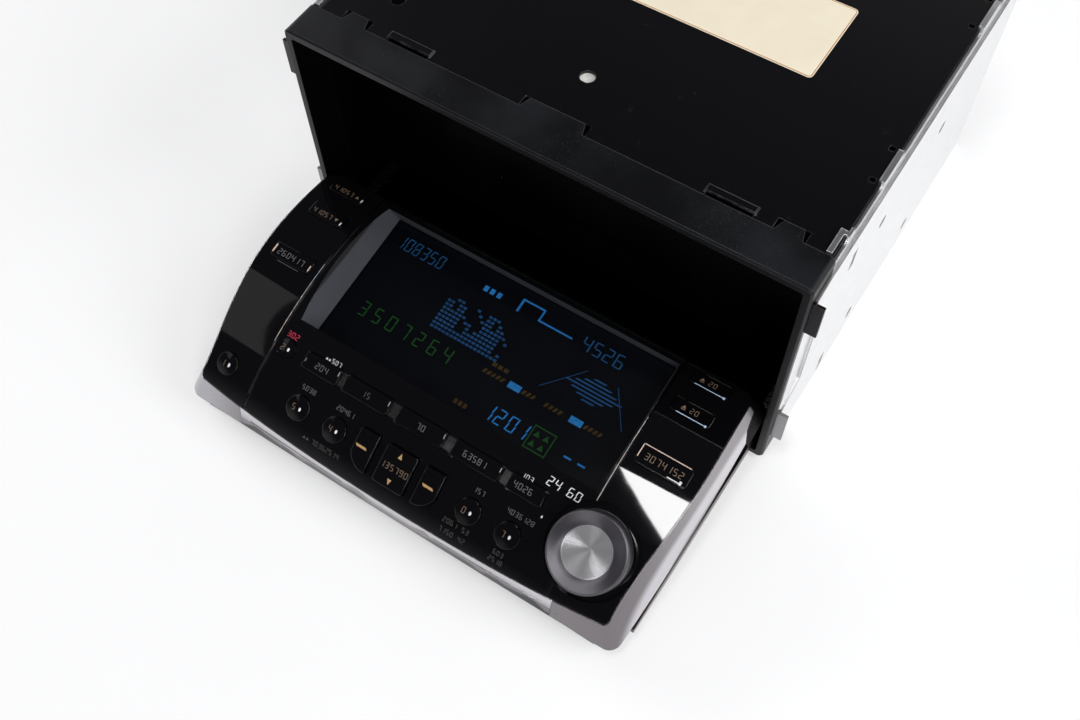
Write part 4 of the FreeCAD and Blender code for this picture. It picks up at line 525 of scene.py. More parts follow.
def turned_aluminium():
    """Aluminium turned on a lathe: fine rings round the knob's axis, and a dark rim."""
    f = Finish("turned_aluminium", (0.5, 0.5, 0.52), metallic=0.8, roughness=0.28, anisotropic=0.9)
    axis = Vector(JOINTS["volume_spin"]["axis"])
    centre = Vector(JOINTS["volume_spin"]["pos_m"]) / MM
    offset = f.make("ShaderNodeVectorMath", {"operation": "SUBTRACT"}, {0: f.place(), 1: tuple(centre)},
                    "Vector")
    along = f.make("ShaderNodeVectorMath", {"operation": "DOT_PRODUCT"}, {0: offset, 1: tuple(axis)}, "Value")
    length = f.make("ShaderNodeVectorMath", {"operation": "LENGTH"}, {0: offset}, "Value")
    reach = (length * length - along * along).put_through("SQRT")
    rings = f.make("ShaderNodeTexNoise", {"noise_dimensions": "1D"},
                   {"W": reach, "Scale": 9.0, "Detail": 3.0})
    marks = rings.band(0.35, 0.7)
    rim = reach.band(*KNOB_RIM)
    turned = f.mix((0.6, 0.6, 0.62), (0.66, 0.66, 0.68), marks)
    return f.wear(
        base_color=f.mix(turned, (0.085, 0.08, 0.09), rim),
        roughness=0.2 + marks * 0.04 + rim * 0.16,
        normal=f.bump(rings, 0.0003, 0.25))


def extruded_aluminium():
    """Grey extruded aluminium with streaks along the fins and a dusty film."""
    f = Finish("extruded_aluminium", (0.5, 0.5, 0.52), metallic=1.0, roughness=0.4)
    streak = f.noise(0.7, 3.0, 0.6, (1.0, 1.0, 0.05))
    film = f.noise(8.0, 4.0).band(0.45, 0.7)
    return f.wear(
        base_color=f.mix(f.mix((0.4, 0.4, 0.42), (0.6, 0.6, 0.62), streak), (0.33, 0.33, 0.33), film * 0.4),
        roughness=0.34 + film * 0.2,
        normal=f.bump(streak, 0.02, 0.3))


def plated_metal():
    """Nickel plate with faint brush lines and dull spots."""
    f = Finish("plated_metal", (0.72, 0.71, 0.69), metallic=1.0, roughness=0.2)
    spots = f.noise(1.6, 4.0, 0.7).band(0.58, 0.72)
    return f.wear(
        base_color=f.mix((0.74, 0.73, 0.71), (0.45, 0.43, 0.4), spots * 0.5),
        roughness=0.16 + spots * 0.2,
        normal=f.bump(f.noise(0.2, 1.0, 0.5, (1.0, 0.1, 1.0)), 0.003, 0.2))


def brass():
    """Turned brass, slightly tarnished."""
    f = Finish("brass", (0.72, 0.53, 0.24), metallic=1.0, roughness=0.3)
    tarnish = f.noise(1.5, 3.0, 0.6).band(0.45, 0.7)
    return f.wear(
        base_color=f.mix((0.75, 0.56, 0.26), (0.4, 0.27, 0.12), tarnish * 0.6),
        roughness=0.24 + tarnish * 0.2,
        normal=f.bump(f.noise(0.3), 0.004, 0.1))


def rubber():
    """Matt black rubber with a bloom."""
    f = Finish("rubber", (0.02, 0.02, 0.02), roughness=0.8)
    bloom = f.noise(3.0, 4.0, 0.7).band(0.5, 0.75)
    return f.wear(
        base_color=f.mix((0.015, 0.015, 0.015), (0.07, 0.07, 0.068), bloom * 0.5),
        roughness=0.72 + bloom * 0.15,
        normal=f.bump(f.noise(0.15), 0.02))


def white_nylon():
    """Moulded nylon, slightly yellow, with greasy dust in its hollows."""
    f = Finish("white_nylon", (0.78, 0.76, 0.7), roughness=0.45, subsurface_weight=0.08)
    grime = f.noise(2.5, 4.0, 0.7).band(0.55, 0.75)
    return f.wear(
        base_color=f.mix((0.8, 0.78, 0.72), (0.5, 0.47, 0.4), grime * 0.5),
        roughness=0.4 + grime * 0.2,
        normal=f.bump(f.noise(0.5), 0.01, 0.25))


def label_paper():
    """Cream label paper, slightly mottled, with darker fibres."""
    f = Finish("label_paper", (0.72, 0.64, 0.5), roughness=0.5)
    fibre = f.noise(0.35, 4.0, 0.7)
    mottle = f.noise(9.0, 4.0, 0.6)
    shade = f.mix((0.68, 0.6, 0.455), (0.75, 0.69, 0.56), mottle)
    return f.wear(
        base_color=f.mix(shade, (0.66, 0.56, 0.4), fibre.band(0.55, 0.8) * 0.5),
        roughness=0.42 + mottle * 0.12,
        normal=f.bump(fibre, 0.01))


def label_edge():
    """Warm brown line printed round the label."""
    f = Finish("label_edge", (0.5, 0.26, 0.1), roughness=0.5)
    return f.wear(base_color=f.mix((0.52, 0.27, 0.1), (0.36, 0.18, 0.07), f.noise(1.2, 3.0)),
                  roughness=0.42 + f.noise(0.6) * 0.16)


def print_and_highlight(name, colour, wear=0.35):
    """Thin, slightly broken screen print; its peach, ice and pale colours, and some of its white, are painted
    highlights.
    """
    f = Finish(name, colour, roughness=0.5)
    broken = f.noise(0.22, 2.0, 0.6).band(0.42, 0.66)
    return f.wear(base_color=f.mix(colour, tuple(c * (1 - wear) for c in colour), broken),
                  roughness=0.4 + broken * 0.2)


def glow(name, colour, level, grain=0.3):
    """A lit segment: its light is uneven across the phosphor."""
    f = Finish(name, tuple(c * 0.25 for c in colour), roughness=0.6)
    uneven = f.noise(1.1, 2.0, 0.6).band(0.3, 0.7)
    f.surface.inputs["Emission Strength"].default_value = level
    return f.wear(base_color=f.mix(tuple(c * 0.2 for c in colour), tuple(c * 0.3 for c in colour), uneven),
                  emission_color=f.mix(tuple(c * (1 - grain) for c in colour), colour, uneven),
                  roughness=0.5 + uneven * 0.2)


def felt():
    """Dark green felt lip of the disc slot."""
    f = Finish("slot_felt", (0.004, 0.03, 0.016), roughness=0.9, sheen_weight=0.3)
    fibre = f.noise(0.2, 4.0, 0.7, (0.4, 1.0, 1.0))
    return f.wear(base_color=f.mix((0.006, 0.05, 0.034), (0.014, 0.11, 0.075), fibre),
                  roughness=0.85 + fibre * 0.1, normal=f.bump(fibre, 0.12))


# Finishes by the slot of a solid, and those of print, painted highlights, painted shade, light and special
# pieces.
MATERIALS = {
    "zinc_steel": zinc_steel(), "black_paint": cover_paint(), "black_plastic": frame_plastic(),
    "inner_plastic": inner_plastic(), "gloss_black": gloss_black("gloss_black", (0.002, 0.002, 0.0025), 0.2),
    "key_black": key_plate(), "silver_paint": silver_paint(), "smoked_glass": smoked_glass(),
    "display_panel": display_plate(), "circuit_board": circuit_board(), "aluminium": turned_aluminium(),
    "sink_aluminium": extruded_aluminium(), "plated_metal": plated_metal(), "rubber": rubber(),
    "white_nylon": white_nylon(), "brass": brass(),
}
OTHER_FINISHES = {
    "label": label_paper(), "label_edge": label_edge(), "felt": felt(),
    "grey": print_and_highlight("grey_ink", (0.115, 0.115, 0.125)), "brown": print_and_highlight("brown_ink", (0.17, 0.115, 0.075)),
    "dim": print_and_highlight("dim_ink", (0.055, 0.053, 0.05)), "white": print_and_highlight("white_print_and_highlight_paint", (0.72, 0.73, 0.76)),
    "gold": print_and_highlight("gold_ink", (0.42, 0.26, 0.11)), "pale": print_and_highlight("pale_highlight_paint", (0.4, 0.4, 0.42)),
    "peach": print_and_highlight("peach_highlight_paint", (0.6, 0.45, 0.37)), "ice": print_and_highlight("ice_highlight_paint", (0.42, 0.55, 0.74)),
    "red": print_and_highlight("red_ink", (0.62, 0.03, 0.08)), "recess": recess_wall_painted_shade(), "seam": painted_seam_highlight(),
    # Tray steel with painted shade inside, bracket steel with painted shade on its ears.
    "tray": zinc_steel("tray_steel_painted_shade", painted=True), "bracket": zinc_steel("bracket_steel_painted_shade", ears=True),
    # Painted shade: the arms in the dark cavity get nearly black steel.
    "shaded_arm_steel": zinc_steel("shaded_arm_steel", (0.06, 0.06, 0.065)),
    "blue": glow("blue_segments", (0.03, 0.33, 0.9), 0.8),
    "mid_blue": glow("mid_blue_segments", (0.02, 0.19, 0.5), 0.45),
    "dim_blue": glow("dim_blue_segments", (0.02, 0.15, 0.42), 0.5),
    "green": glow("green_segments", (0.02, 0.26, 0.03), 0.27),
    "amber": glow("amber_segments", (0.3, 0.17, 0.02), 0.14),
}

# Nodes that have a finish of their own within their slot, which for the tray, the brackets and the arms
# carries painted shade, and those that get a smooth copy, as the face and the keys do.
OWN_FINISH = {
    "side_bracket_left": "bracket", "side_bracket_right": "bracket", "chassis_tray": "tray",
    "arm_left": "shaded_arm_steel", "arm_right": "shaded_arm_steel", "arm_crossbar": "shaded_arm_steel",
}
SMOOTH = ("volume_knob", "side_trim_left", "side_trim_right", "lower_trim", "front_frame", "rear_shell")


# Pieces

def put(name, data):
    """Object of some data, linked into the scene."""
    thing = bpy.data.objects.new(name, data)
    bpy.context.scene.collection.objects.link(thing)
    return thing


def stance(side, up, away, place):
    """Placement of a thing by the directions of its three axes and its spot."""
    return Matrix.Translation(place) @ Matrix((side, up, away)).transposed().to_4x4()


def mesh_of(build, name):
    """Ends a build and gives its mesh."""
    mesh = bpy.data.meshes.new(name)
    build.to_mesh(mesh)
    build.free()
    return mesh


def finished(name, mesh, body, material, slot):
    """Puts a mesh in the scene as a piece that rides on a body."""
    piece = put(name, mesh)
    mesh.materials.clear()
    mesh.materials.append(material)
    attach(piece, body)
    return piece


def plates(name, outlines, body, material, slot):
    """Thin flat shapes, used for print, lit segments and painted highlights, each a polygon of points given
    anticlockwise.
    """
    points = []
    faces = []
    for outline in outlines:
        faces.append(tuple(range(len(points), len(points) + len(outline))))
        points.extend(outline)
    mesh = bpy.data.meshes.new(name)
    mesh.from_pydata(points, [], faces)
    finished(name, mesh, body, material, slot)


def curve_normal(point):
    """Outward normal of the curved face at a point of the open panel."""
    depth, height = upright(point)
    length = math.hypot(depth - FACE_CENTRE, height)
    across, up = (depth - FACE_CENTRE) / length, height / length
    return Vector((0, across * math.cos(OPEN_TURN) - up * math.sin(OPEN_TURN),
                   across * math.sin(OPEN_TURN) + up * math.cos(OPEN_TURN)))


def upright(point):
    """Depth and height of a point of the open panel, in the upright panel."""
    y = (point.y - HINGE.y) / MM
    z = (point.z - HINGE.z) / MM
    return (y * math.cos(OPEN_TURN) + z * math.sin(OPEN_TURN) + HINGE_DEPTH,
            z * math.cos(OPEN_TURN) - y * math.sin(OPEN_TURN) - HINGE_DROP)


def radii(mesh, face):
    """Distance of each corner from the axis of the face's curve."""
    spots = [upright(mesh.vertices[index].co) for index in face.vertices]
    return [math.hypot(depth - FACE_CENTRE, height) for depth, height in spots]


def on_curve(mesh, face):
    """True where every corner lies on the face or on the top of a key."""
    out = radii(mesh, face)
    level = min(out) > FACE_RADIUS - LEVEL_ERROR and max(out) - min(out) < LEVEL_ERROR
    return level and face.normal.dot(curve_normal(face.center)) > OUTWARD


def on_recess(mesh, face):
    """True for a wall between the face and the sunken window, but not for the face round it."""
    height = upright(face.center)[1]
    inside = WINDOW_LEFT - WALL_SPREAD < face.center.x / MM < WINDOW_RIGHT + WALL_MARGIN
    level = WINDOW_LOW[0] - WALL_MARGIN < height < WINDOW_HIGH[0] + WALL_MARGIN
    return inside and level and not on_curve(mesh, face)


def smooth_copy(node, name):
    """Mesh of a solid with merged corners, shaded smooth up to its creases."""
    build = bmesh.new()
    build.from_mesh(NODES[node].data)
    bmesh.ops.remove_doubles(build, verts=build.verts, dist=1e-6)
    bmesh.ops.dissolve_degenerate(build, edges=build.edges, dist=1e-7)
    mesh = mesh_of(build, name)
    if "custom_normal" in mesh.attributes:
        mesh.attributes.remove(mesh.attributes["custom_normal"])
    mesh.shade_smooth()
    mesh.set_sharp_from_angle(angle=math.radians(CREASE))
    return mesh


def follow_curve(mesh):
    """Turns the normals on the face and on the tops of keys to the true curve."""
    normals = [Vector(n.vector) for n in mesh.corner_normals]
    for face in mesh.polygons:
        if on_curve(mesh, face):
            for loop in face.loop_indices:
                normals[loop] = curve_normal(mesh.vertices[mesh.loops[loop].vertex_index].co)
    mesh.normals_split_custom_set(normals)


def write_fall(mesh, turned):
    """Writes how far each corner lies behind the face, which places the silver paint's painted reflection and
    shadow; turned for the lower trim.
    """
    fall = mesh.attributes.new("fall", "FLOAT", "POINT")
    for vertex in mesh.vertices:
        depth, height = upright(vertex.co)
        share = (FACE_RADIUS - math.hypot(depth - FACE_CENTRE, height)) / FLANK_DEPTH
        if turned:
            # For the lower trim: painted reflection from the face, then painted shadow at its foot.
            share = STRIP_FALL - STRIP_SLOPE * share if share < STRIP_LIMIT else STRIP_SHADE
        fall.data[vertex.index].value = share


def dressed(node, slot, curved=False):
    """Smooth copy that takes the place of a solid with a bright, curved surface."""
    mesh = smooth_copy(node, node + "_surface")
    if curved:
        follow_curve(mesh)
    if slot == "silver_paint":
        write_fall(mesh, node == "lower_trim")
    piece = finished(node + "_surface", mesh, BODY_OF[node], MATERIALS[slot], slot)
    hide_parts(node)
    if node == "front_fascia":
        mesh.materials.append(OTHER_FINISHES["recess"])
        for face in mesh.polygons:
            if on_recess(mesh, face):
                face.material_index = 1


# Seven-bar figures in a cell one wide and two high: the box of each bar, and the bars of each figure.
BAR = 0.17
BAR_GAP = 0.05
BARS = {
    "a": (BAR, 2 - BAR, 1 - BAR, 2), "b": (1 - BAR, 1 + BAR_GAP, 1, 2 - BAR_GAP),
    "c": (1 - BAR, BAR_GAP, 1, 1 - BAR_GAP), "d": (BAR, 0, 1 - BAR, BAR),
    "e": (0, BAR_GAP, BAR, 1 - BAR_GAP), "f": (0, 1 + BAR_GAP, BAR, 2 - BAR_GAP),
    "g": (BAR, 1 - BAR / 2, 1 - BAR, 1 + BAR / 2),
}
FIGURES = {"0": "abcdef", "1": "bc", "2": "abdeg", "3": "abcdg", "4": "bcfg", "5": "acdfg", "6": "acdefg",
           "7": "abc", "8": "abcdefg", "9": "abcdfg", " ": ""}


def rectangle(place, x0, x1, low, high, lean=0.0):
    """Four corners on a surface, anticlockwise seen from outside, leaning to the right by a share."""
    middle = (low + high) / 2
    return [place(x0 + lean * (low - middle), low), place(x1 + lean * (low - middle), low),
            place(x1 + lean * (high - middle), high), place(x0 + lean * (high - middle), high)]


def digits(place, text, x, low, width, height, pitch, lean=0.12):
    """Seven-bar figures from a left-hand corner."""
    shapes = []
    for index, figure in enumerate(text):
        left = x + index * pitch
        for x0, z0, x1, z1 in (BARS[bar] for bar in FIGURES[figure]):
            shapes.append(rectangle(place, left + x0 * width, left + x1 * width, low + z0 * height / 2,
                                    low + z1 * height / 2, lean))
    return shapes


def bars(place, *boxes):
    """Upright rectangles, each given as its left and right side, foot and top."""
    return [rectangle(place, *box) for box in boxes]


def bar_line(place, starts, width, low, high, lean=0.0):
    """Rectangles of one size side by side, from their left-hand sides."""
    return [rectangle(place, x, x + width, low, high, lean) for x in starts]


def triangle(place, x, middle, width, height):
    """Triangle that points up the face, or down where its height is negative."""
    half = width / 2
    points = [place(x - half, middle - height / 2), place(x + half, middle - height / 2),
              place(x, middle + height / 2)]
    return points if height > 0 else points[::-1]


def surface(lift):
    """Gives the function of the points that lie at a height over the curved face."""
    return lambda x, place: face_point(x, place, lift)


on_face = surface(PRINT_LIFT)
on_key = surface(KEY_PROUD + PRINT_LIFT)
on_select = surface(SELECT_PROUD + PRINT_LIFT)
on_dome = surface(KEY_PROUD + DOME_HEIGHT + DOME_PRINT_LIFT)


def on_display(x, height):
    """A point of the lit segments, just over the display's plate."""
    return window_point(x, height, SEGMENT_LIFT)


def label_outline(inset, lift):
    """Outline of the label with round corners, drawn in by an inset, at a height over the cover."""
    left, right, front, back = LABEL_BOX
    points = []
    for cx, cy, start in ((right, front, -90), (right, back, 0), (left, back, 90), (left, front, 180)):
        x = cx + (LABEL_CORNER if cx == left else -LABEL_CORNER)
        y = cy + (LABEL_CORNER if cy == front else -LABEL_CORNER)
        reach = LABEL_CORNER - inset
        for step in range(CORNER_STEPS + 1):
            turn = math.radians(start + step * 90 / CORNER_STEPS)
            points.append(Vector((x + reach * math.cos(turn), y + FRAME_FRONT + reach * math.sin(turn),
                                  COVER_TOP + lift)) * MM)
    return points


def label():
    """Bare paper label on the cover, with a thin printed line inside its edge."""
    mesh = bpy.data.meshes.new("cover_label")
    rings = [label_outline(inset, lift) for inset, lift in LABEL_RINGS]
    count = len(rings[0])
    last = len(rings) - 1
    faces = []
    for ring in range(last):
        low, high = ring * count, (ring + 1) * count
        for step in range(count):
            after = (step + 1) % count
            faces.append((low + step, low + after, high + after, high + step))
    faces.append(tuple(range(last * count, (last + 1) * count)))
    faces.append(tuple(reversed(range(count))))
    mesh.from_pydata([point for ring in rings for point in ring], [], faces)
    finished("cover_label", mesh, "case", OTHER_FINISHES["label"], None)
    mesh.materials.append(OTHER_FINISHES["label_edge"])
    for index in range((last - 1) * count, last * count):
        mesh.polygons[index].material_index = 1


def lit(name, shapes, colour):
    """A piece of lit segments on the display."""
    plates("display_" + name, shapes, "panel", OTHER_FINISHES[colour], "display_panel")


def frequency_picture():
    """Columns of small cells of uneven height, with a few more over them."""
    columns, left, pitch, width = 17, -21.5, 1.55, 1.2
    rows, foot, rise, height = 9, 11.2, 1.5, 0.9
    shapes = []
    for column in range(columns):
        x = left + column * pitch
        top = 5 + 3.2 * math.sin(column * 0.7) + 2.4 * math.sin(column * 1.9 + 1)
        for row in range(rows):
            if row < top or (column + row) % 5 == 0:
                low = foot + row * rise
                shapes.append(rectangle(on_display, x, x + width, low, low + height))
    return shapes


def level_diamond():
    """Leaning bars that are widest in the middle, between two slanting lines."""
    rows, middle, foot, rise, height = 7, 37.2, 14.2, 1.3, 0.6
    shapes = []
    for row in range(rows):
        spread = 10.0 - abs(row - rows // 2) * 2.6
        low = foot + row * rise
        shapes.append(rectangle(on_display, middle - spread, middle + spread, low, low + height, 1.2))
    for x, lean in ((26.2, 0.9), (47.0, -0.7)):
        shapes.append(rectangle(on_display, x, x + 0.3, 11.6, 23.6, lean))
    return shapes


def display():
    """Lit segments: figures, level bars, a frequency picture and scales, all generic."""
    words = digits(on_display, "108350", -48.4, 29.6, 2.3, 4.8, 3.2, 0.16)
    words += digits(on_display, "4526", 25.2, 28.8, 3.0, 4.9, 4.0, 0.0)
    lit("words", words, "mid_blue")
    blue = digits(on_display, "12", 10.6, -6.4, 3.0, 5.4, 4.1)
    blue += digits(on_display, "01", 19.3, -6.4, 3.0, 5.4, 4.1)
    blue += bar_line(on_display, (40.2, 45.2), 2.6, -4.4, -3.8)
    blue += bar_line(on_display, (12.2, 35.2), 4.6, 6.1, 8.4)
    blue += bar_line(on_display, (-13.4, -10.9, -8.2), 1.6, 30.6, 32.6)
    blue += bars(on_display, (0.2, 1.0, 29.8, 34.8), (0.2, 9.0, 34.2, 34.8), (8.4, 9.0, 30.6, 34.8),
                 (8.4, 21.5, 30.2, 30.8))
    lit("blue", blue, "blue")
    lit("dim_blue", frequency_picture() + level_diamond(), "dim_blue")
    green = digits(on_display, "3507264", -45.4, 2.6, 2.9, 5.4, 5.6, 0.0)
    green += [triangle(on_display, x, middle, 2.2, 2.0) for middle in (-5.6, -2.2) for x in (29.3, 32.7)]
    green += bars(on_display, (27.1, 35.2, -8.0, -7.6), (27.1, 35.2, -0.2, 0.2), (27.1, 27.5, -7.6, -0.2),
                  (34.8, 35.2, -7.6, -0.2))
    lit("green", green, "green")
    amber = []
    tick_pitch, tick_width = 1.7, 1.0
    for left, right in ((2.6, 11.4), (17.6, 24.4), (26.0, 34.4), (40.6, 48.4)):
        ticks = int((right - left) / tick_pitch)
        starts = [left + tick * tick_pitch for tick in range(ticks)]
        amber += bar_line(on_display, starts, tick_width, 6.5, 8.0, 0.4)
    amber += bar_line(on_display, (4.0, 6.2, 8.4), 1.6, 9.8, 11.2)
    amber += bar_line(on_display, (0.2, 2.0, 3.8), 1.2, -7.0, -5.4)
    lit("amber", amber, "amber")


def legend(place, text, x, low, height, lean=0.0):
    """Small row of plain figures where the real set has a word."""
    return digits(place, text, x, low, 0.6 * height, height, 0.88 * height, lean)


def legends(place, *rows):
    """Rows of plain figures, each given as its text, left side, foot, height and, if it has one, lean."""
    return [shape for row in rows for shape in legend(place, *row)]


def key_print_and_highlight(key, kind, shapes, marking):
    """Printed shapes, and painted highlights, that ride on a key."""
    plates(f"{key}_{kind}", shapes, key + "_body", OTHER_FINISHES[marking], "key_black")


def face_print_and_highlight(name, shapes, marking):
    """Printed shapes, and painted highlights, on the gloss face."""
    plates(name, shapes, "panel", OTHER_FINISHES[marking], "gloss_black")


def key_marks():
    """Small figures and plain arrows on the keys, and painted highlights along some key edges, each riding on
    its own key.
    """
    for key, place, height in (("angle_up_key", 36.9, 1.2), ("angle_down_key", 25.3, -1.2)):
        shapes = legend(on_key, "41057", -76.2, place - 0.9, 1.8)
        shapes.append(triangle(on_key, -66.9, place, 1.4, height))
        key_print_and_highlight(key, "mark", shapes, "brown")
        # Painted highlight along the key's edge.
        key_print_and_highlight(key, "edge", bars(on_key, (-64.9, -64.5, place - 1.2, place + 0.1)), "white")
    key_print_and_highlight("change_key", "mark", legend(on_key, "260417", -76.4, 5.2, 2.1), "grey")
    # Painted highlights at the key's ends.
    key_print_and_highlight("change_key", "edge", bars(on_key, (-78.3, -77.8, 5.0, 8.1), (-63.5, -63.1, 4.8, 6.9)), "peach")
    key_print_and_highlight("change_key", "line", bars(on_key, (-74.6, -66.0, 3.1, 3.3)), "dim")
    for key, place in (("disc_eject_key", 37.9), ("cartridge_eject_key", 26.3)):
        shapes = legend(on_key, "20", 67.8, place - 0.9, 1.8)
        shapes.append(triangle(on_key, 65.6, place + 0.2, 1.5, 1.1))
        shapes += bars(on_key, (64.9, 66.3, place - 0.9, place - 0.6))
        key_print_and_highlight(key, "mark", shapes, "brown")
        # Painted highlights along the key's foot and end.
        key_print_and_highlight(key, "edge", bars(on_key, (64.0, 73.8, place - 2.5, place - 2.25),
                                  (73.8, 74.5, place - 2.8, place - 2.0)), "ice")
        key_print_and_highlight(key, "line", bars(on_key, (66.0, 74.2, place + 2.3, place + 2.42)), "dim")
    key_print_and_highlight("enter_key", "mark", legend(on_key, "3074152", 63.6, 5.7, 2.2), "brown")
    # Painted highlights along the key's edges, and a painted glint near its corner.
    key_print_and_highlight("enter_key", "edge", bars(on_key, (61.4, 61.75, 5.6, 9.9), (61.75, 77.6, 9.9, 10.2)), "peach")
    key_print_and_highlight("enter_key", "glint", bars(on_key, (72.4, 76.6, 4.2, 4.55), (76.4, 77.2, 4.0, 5.2)), "white")
    row = (("row_key_1", "204", -42.6, "grey"), ("row_key_2", "15", -24.0, "dim"),
           ("row_key_3", "70", -2.8, "grey"), ("row_key_4", "63581", 14.9, "grey"),
           ("row_key_5", "4026", 33.4, "grey"))
    for key, text, x, shade in row:
        key_print_and_highlight(key, "mark", legend(on_key, text, x, -20.9, 2.0), shade)
    # Painted highlights on the right edges of the row keys.
    for key, x in (("row_key_1", -34.2), ("row_key_2", -14.3), ("row_key_3", 6.9), ("row_key_4", 27.8)):
        key_print_and_highlight(key, "edge", bar_line(on_key, (x,), 0.22, -19.4, -17.9), "pale")
    key_print_and_highlight("row_key_1", "start", bars(on_key, (-46.9, -46.5, -20.6, -19.4)), "grey")


def dome_points(x, place, reach):
    """Corners and normals of a low dome, ring by ring; its shoulder tilts to catch a highlight."""
    points, normals = [], []
    for ring in range(DOME_RINGS + 1):
        out = reach * ring / DOME_RINGS
        lift = KEY_PROUD + DOME_GAP + DOME_HEIGHT * (1 - (ring / DOME_RINGS) ** 2)
        tilt = math.radians(DOME_TILT) * math.sin(math.pi / 2 * min(out / DOME_SHOULDER, 1.0))
        for step in range(DOME_STEPS):
            turn = 2 * math.pi * step / DOME_STEPS
            across = x + out * math.cos(turn)
            up = place + out * math.sin(turn)
            point = face_point(across, up, lift)
            side = (face_point(across + math.cos(turn), up + math.sin(turn), lift) - point).normalized()
            points.append(point)
            normals.append((curve_normal(point) * math.cos(tilt) + side * math.sin(tilt)).normalized())
    return points, normals


def dome(key, x, place, reach):
    """Low dome on a round key."""
    points, normals = dome_points(x, place, reach)
    build = bmesh.new()
    made = [build.verts.new(point) for point in points]
    for ring in range(DOME_RINGS):
        low, high = ring * DOME_STEPS, (ring + 1) * DOME_STEPS
        for step in range(DOME_STEPS):
            after = (step + 1) % DOME_STEPS
            build.faces.new([made[low + step], made[high + step], made[high + after], made[low + after]])
    bmesh.ops.remove_doubles(build, verts=build.verts, dist=1e-7)
    mesh = mesh_of(build, key + "_dome")
    mesh.shade_smooth()
    middle = curve_normal(face_point(x, place, KEY_PROUD + DOME_HEIGHT))
    chosen = []
    for vert in mesh.vertices:
        nearest = min(range(len(points)), key=lambda index: (points[index] - vert.co).length_squared)
        chosen.append(middle if nearest < DOME_STEPS else normals[nearest])
    mesh.normals_split_custom_set_from_vertices(chosen)
    finished(key + "_dome", mesh, key + "_body", MATERIALS["key_black"], "key_black")


def round_keys():
    """Domes of the round keys, each with its figure printed beside a small white bead that is a painted
    highlight.
    """
    for key, (x, place, reach, figure) in ROUND_KEYS.items():
        dome(key, x, place, reach)
        key_print_and_highlight(key, "mark", digits(on_dome, figure, x - 1.9, place - 1.1, 1.15, 2.1, 1.6), "brown")
        # White bead beside the figure, a painted highlight.
        lens(key + "_lens", x + 1.0, place - 0.1, 0.42, KEY_PROUD + DOME_HEIGHT, key + "_body")


def select_marks():
    """Gold arrows and bars of the select cluster."""
    arrows = [triangle(on_select, -2.0, -30.6, 1.5, 1.9), triangle(on_select, -2.0, -39.5, 1.5, -1.9)]
    key_print_and_highlight("select_rocker", "mark", arrows, "gold")
    key_print_and_highlight("select_rocker", "word", legend(on_select, "135790", -7.1, -36.1, 2.0), "brown")
    for side, x in (("left", -17.2), ("right", 8.4)):
        bar = bar_line(on_select, (x,), 3.8, -34.8, -34.0, -0.8)
        plates(f"select_{side}_mark", bar, f"select_{side}_key_body", OTHER_FINISHES["gold"], "key_black")


def face_marks():
    """Small plain figures printed on the face beside the keys, and painted highlights along the seams beside
    the display.
    """
    face_print_and_highlight("face_grey_marks", legends(
        on_face, ("5038", -43.4, -28.6, 1.6), ("20461", -29.4, -28.6, 1.6), ("157", 23.2, -28.4, 1.6),
        ("4036128", 35.6, -28.6, 1.6)), "grey")
    dim = legends(
        on_face, ("70362514", -32.2, -42.6, 1.6), ("2061 53", 18.6, -41.4, 1.6),
        ("7150 42", 18.6, -44.6, 1.6), ("603", 37.4, -41.8, 1.5), ("2518", 36.8, -44.2, 1.5))
    dim += [triangle(on_face, x, -41.8, 1.1, 0.9) for x in (-35.2, -33.9)]
    face_print_and_highlight("face_dim_marks", dim, "dim")
    bright = legends(
        on_face, ("24", 42.0, -15.4, 3.0, 0.18), ("60", 49.2, -15.4, 3.0, 0.18), ("103", 34.2, -17.4, 1.7),
        ("507", -38.6, -16.8, 1.5))
    bright += [triangle(on_face, x, -16.2, 0.9, 0.8) for x in (-40.6, -39.5)]
    face_print_and_highlight("face_white_marks", bright, "white")
    face_print_and_highlight("face_red_mark", legend(on_face, "302", -57.2, -16.4, 1.9), "red")
    # Painted highlights along the seams beside the display.
    seams = []
    for x, low, high in SEAMS:
        for step in range(int((high - low) / SEAM_STEP)):
            place = low + SEAM_STEP * step
            seams.append(rectangle(on_face, x, x + SEAM_WIDTH, place, place + SEAM_STEP))
    face_print_and_highlight("painted_seam_highlights", seams, "seam")


def cover_pads():
    """Pale stops seen through the round holes of the cover."""
    build = bmesh.new()
    for x, y in PAD_PLACES:
        made = bmesh.ops.create_cone(build, cap_ends=True, segments=48, radius1=PAD_FOOT * MM,
                                     radius2=PAD_TOP * MM, depth=PAD_HEIGHT * MM)
        centre = Vector((x, y + FRAME_FRONT, COVER_TOP - PAD_DEPTH)) * MM
        bmesh.ops.translate(build, verts=made["verts"], vec=centre)
    bmesh.ops.bevel(build, geom=list(build.edges), offset=PAD_ROUND * MM, segments=2, affect="EDGES")
    mesh = mesh_of(build, "cover_pads")
    finished("cover_pads", mesh, "case", MATERIALS["white_nylon"], "white_nylon")


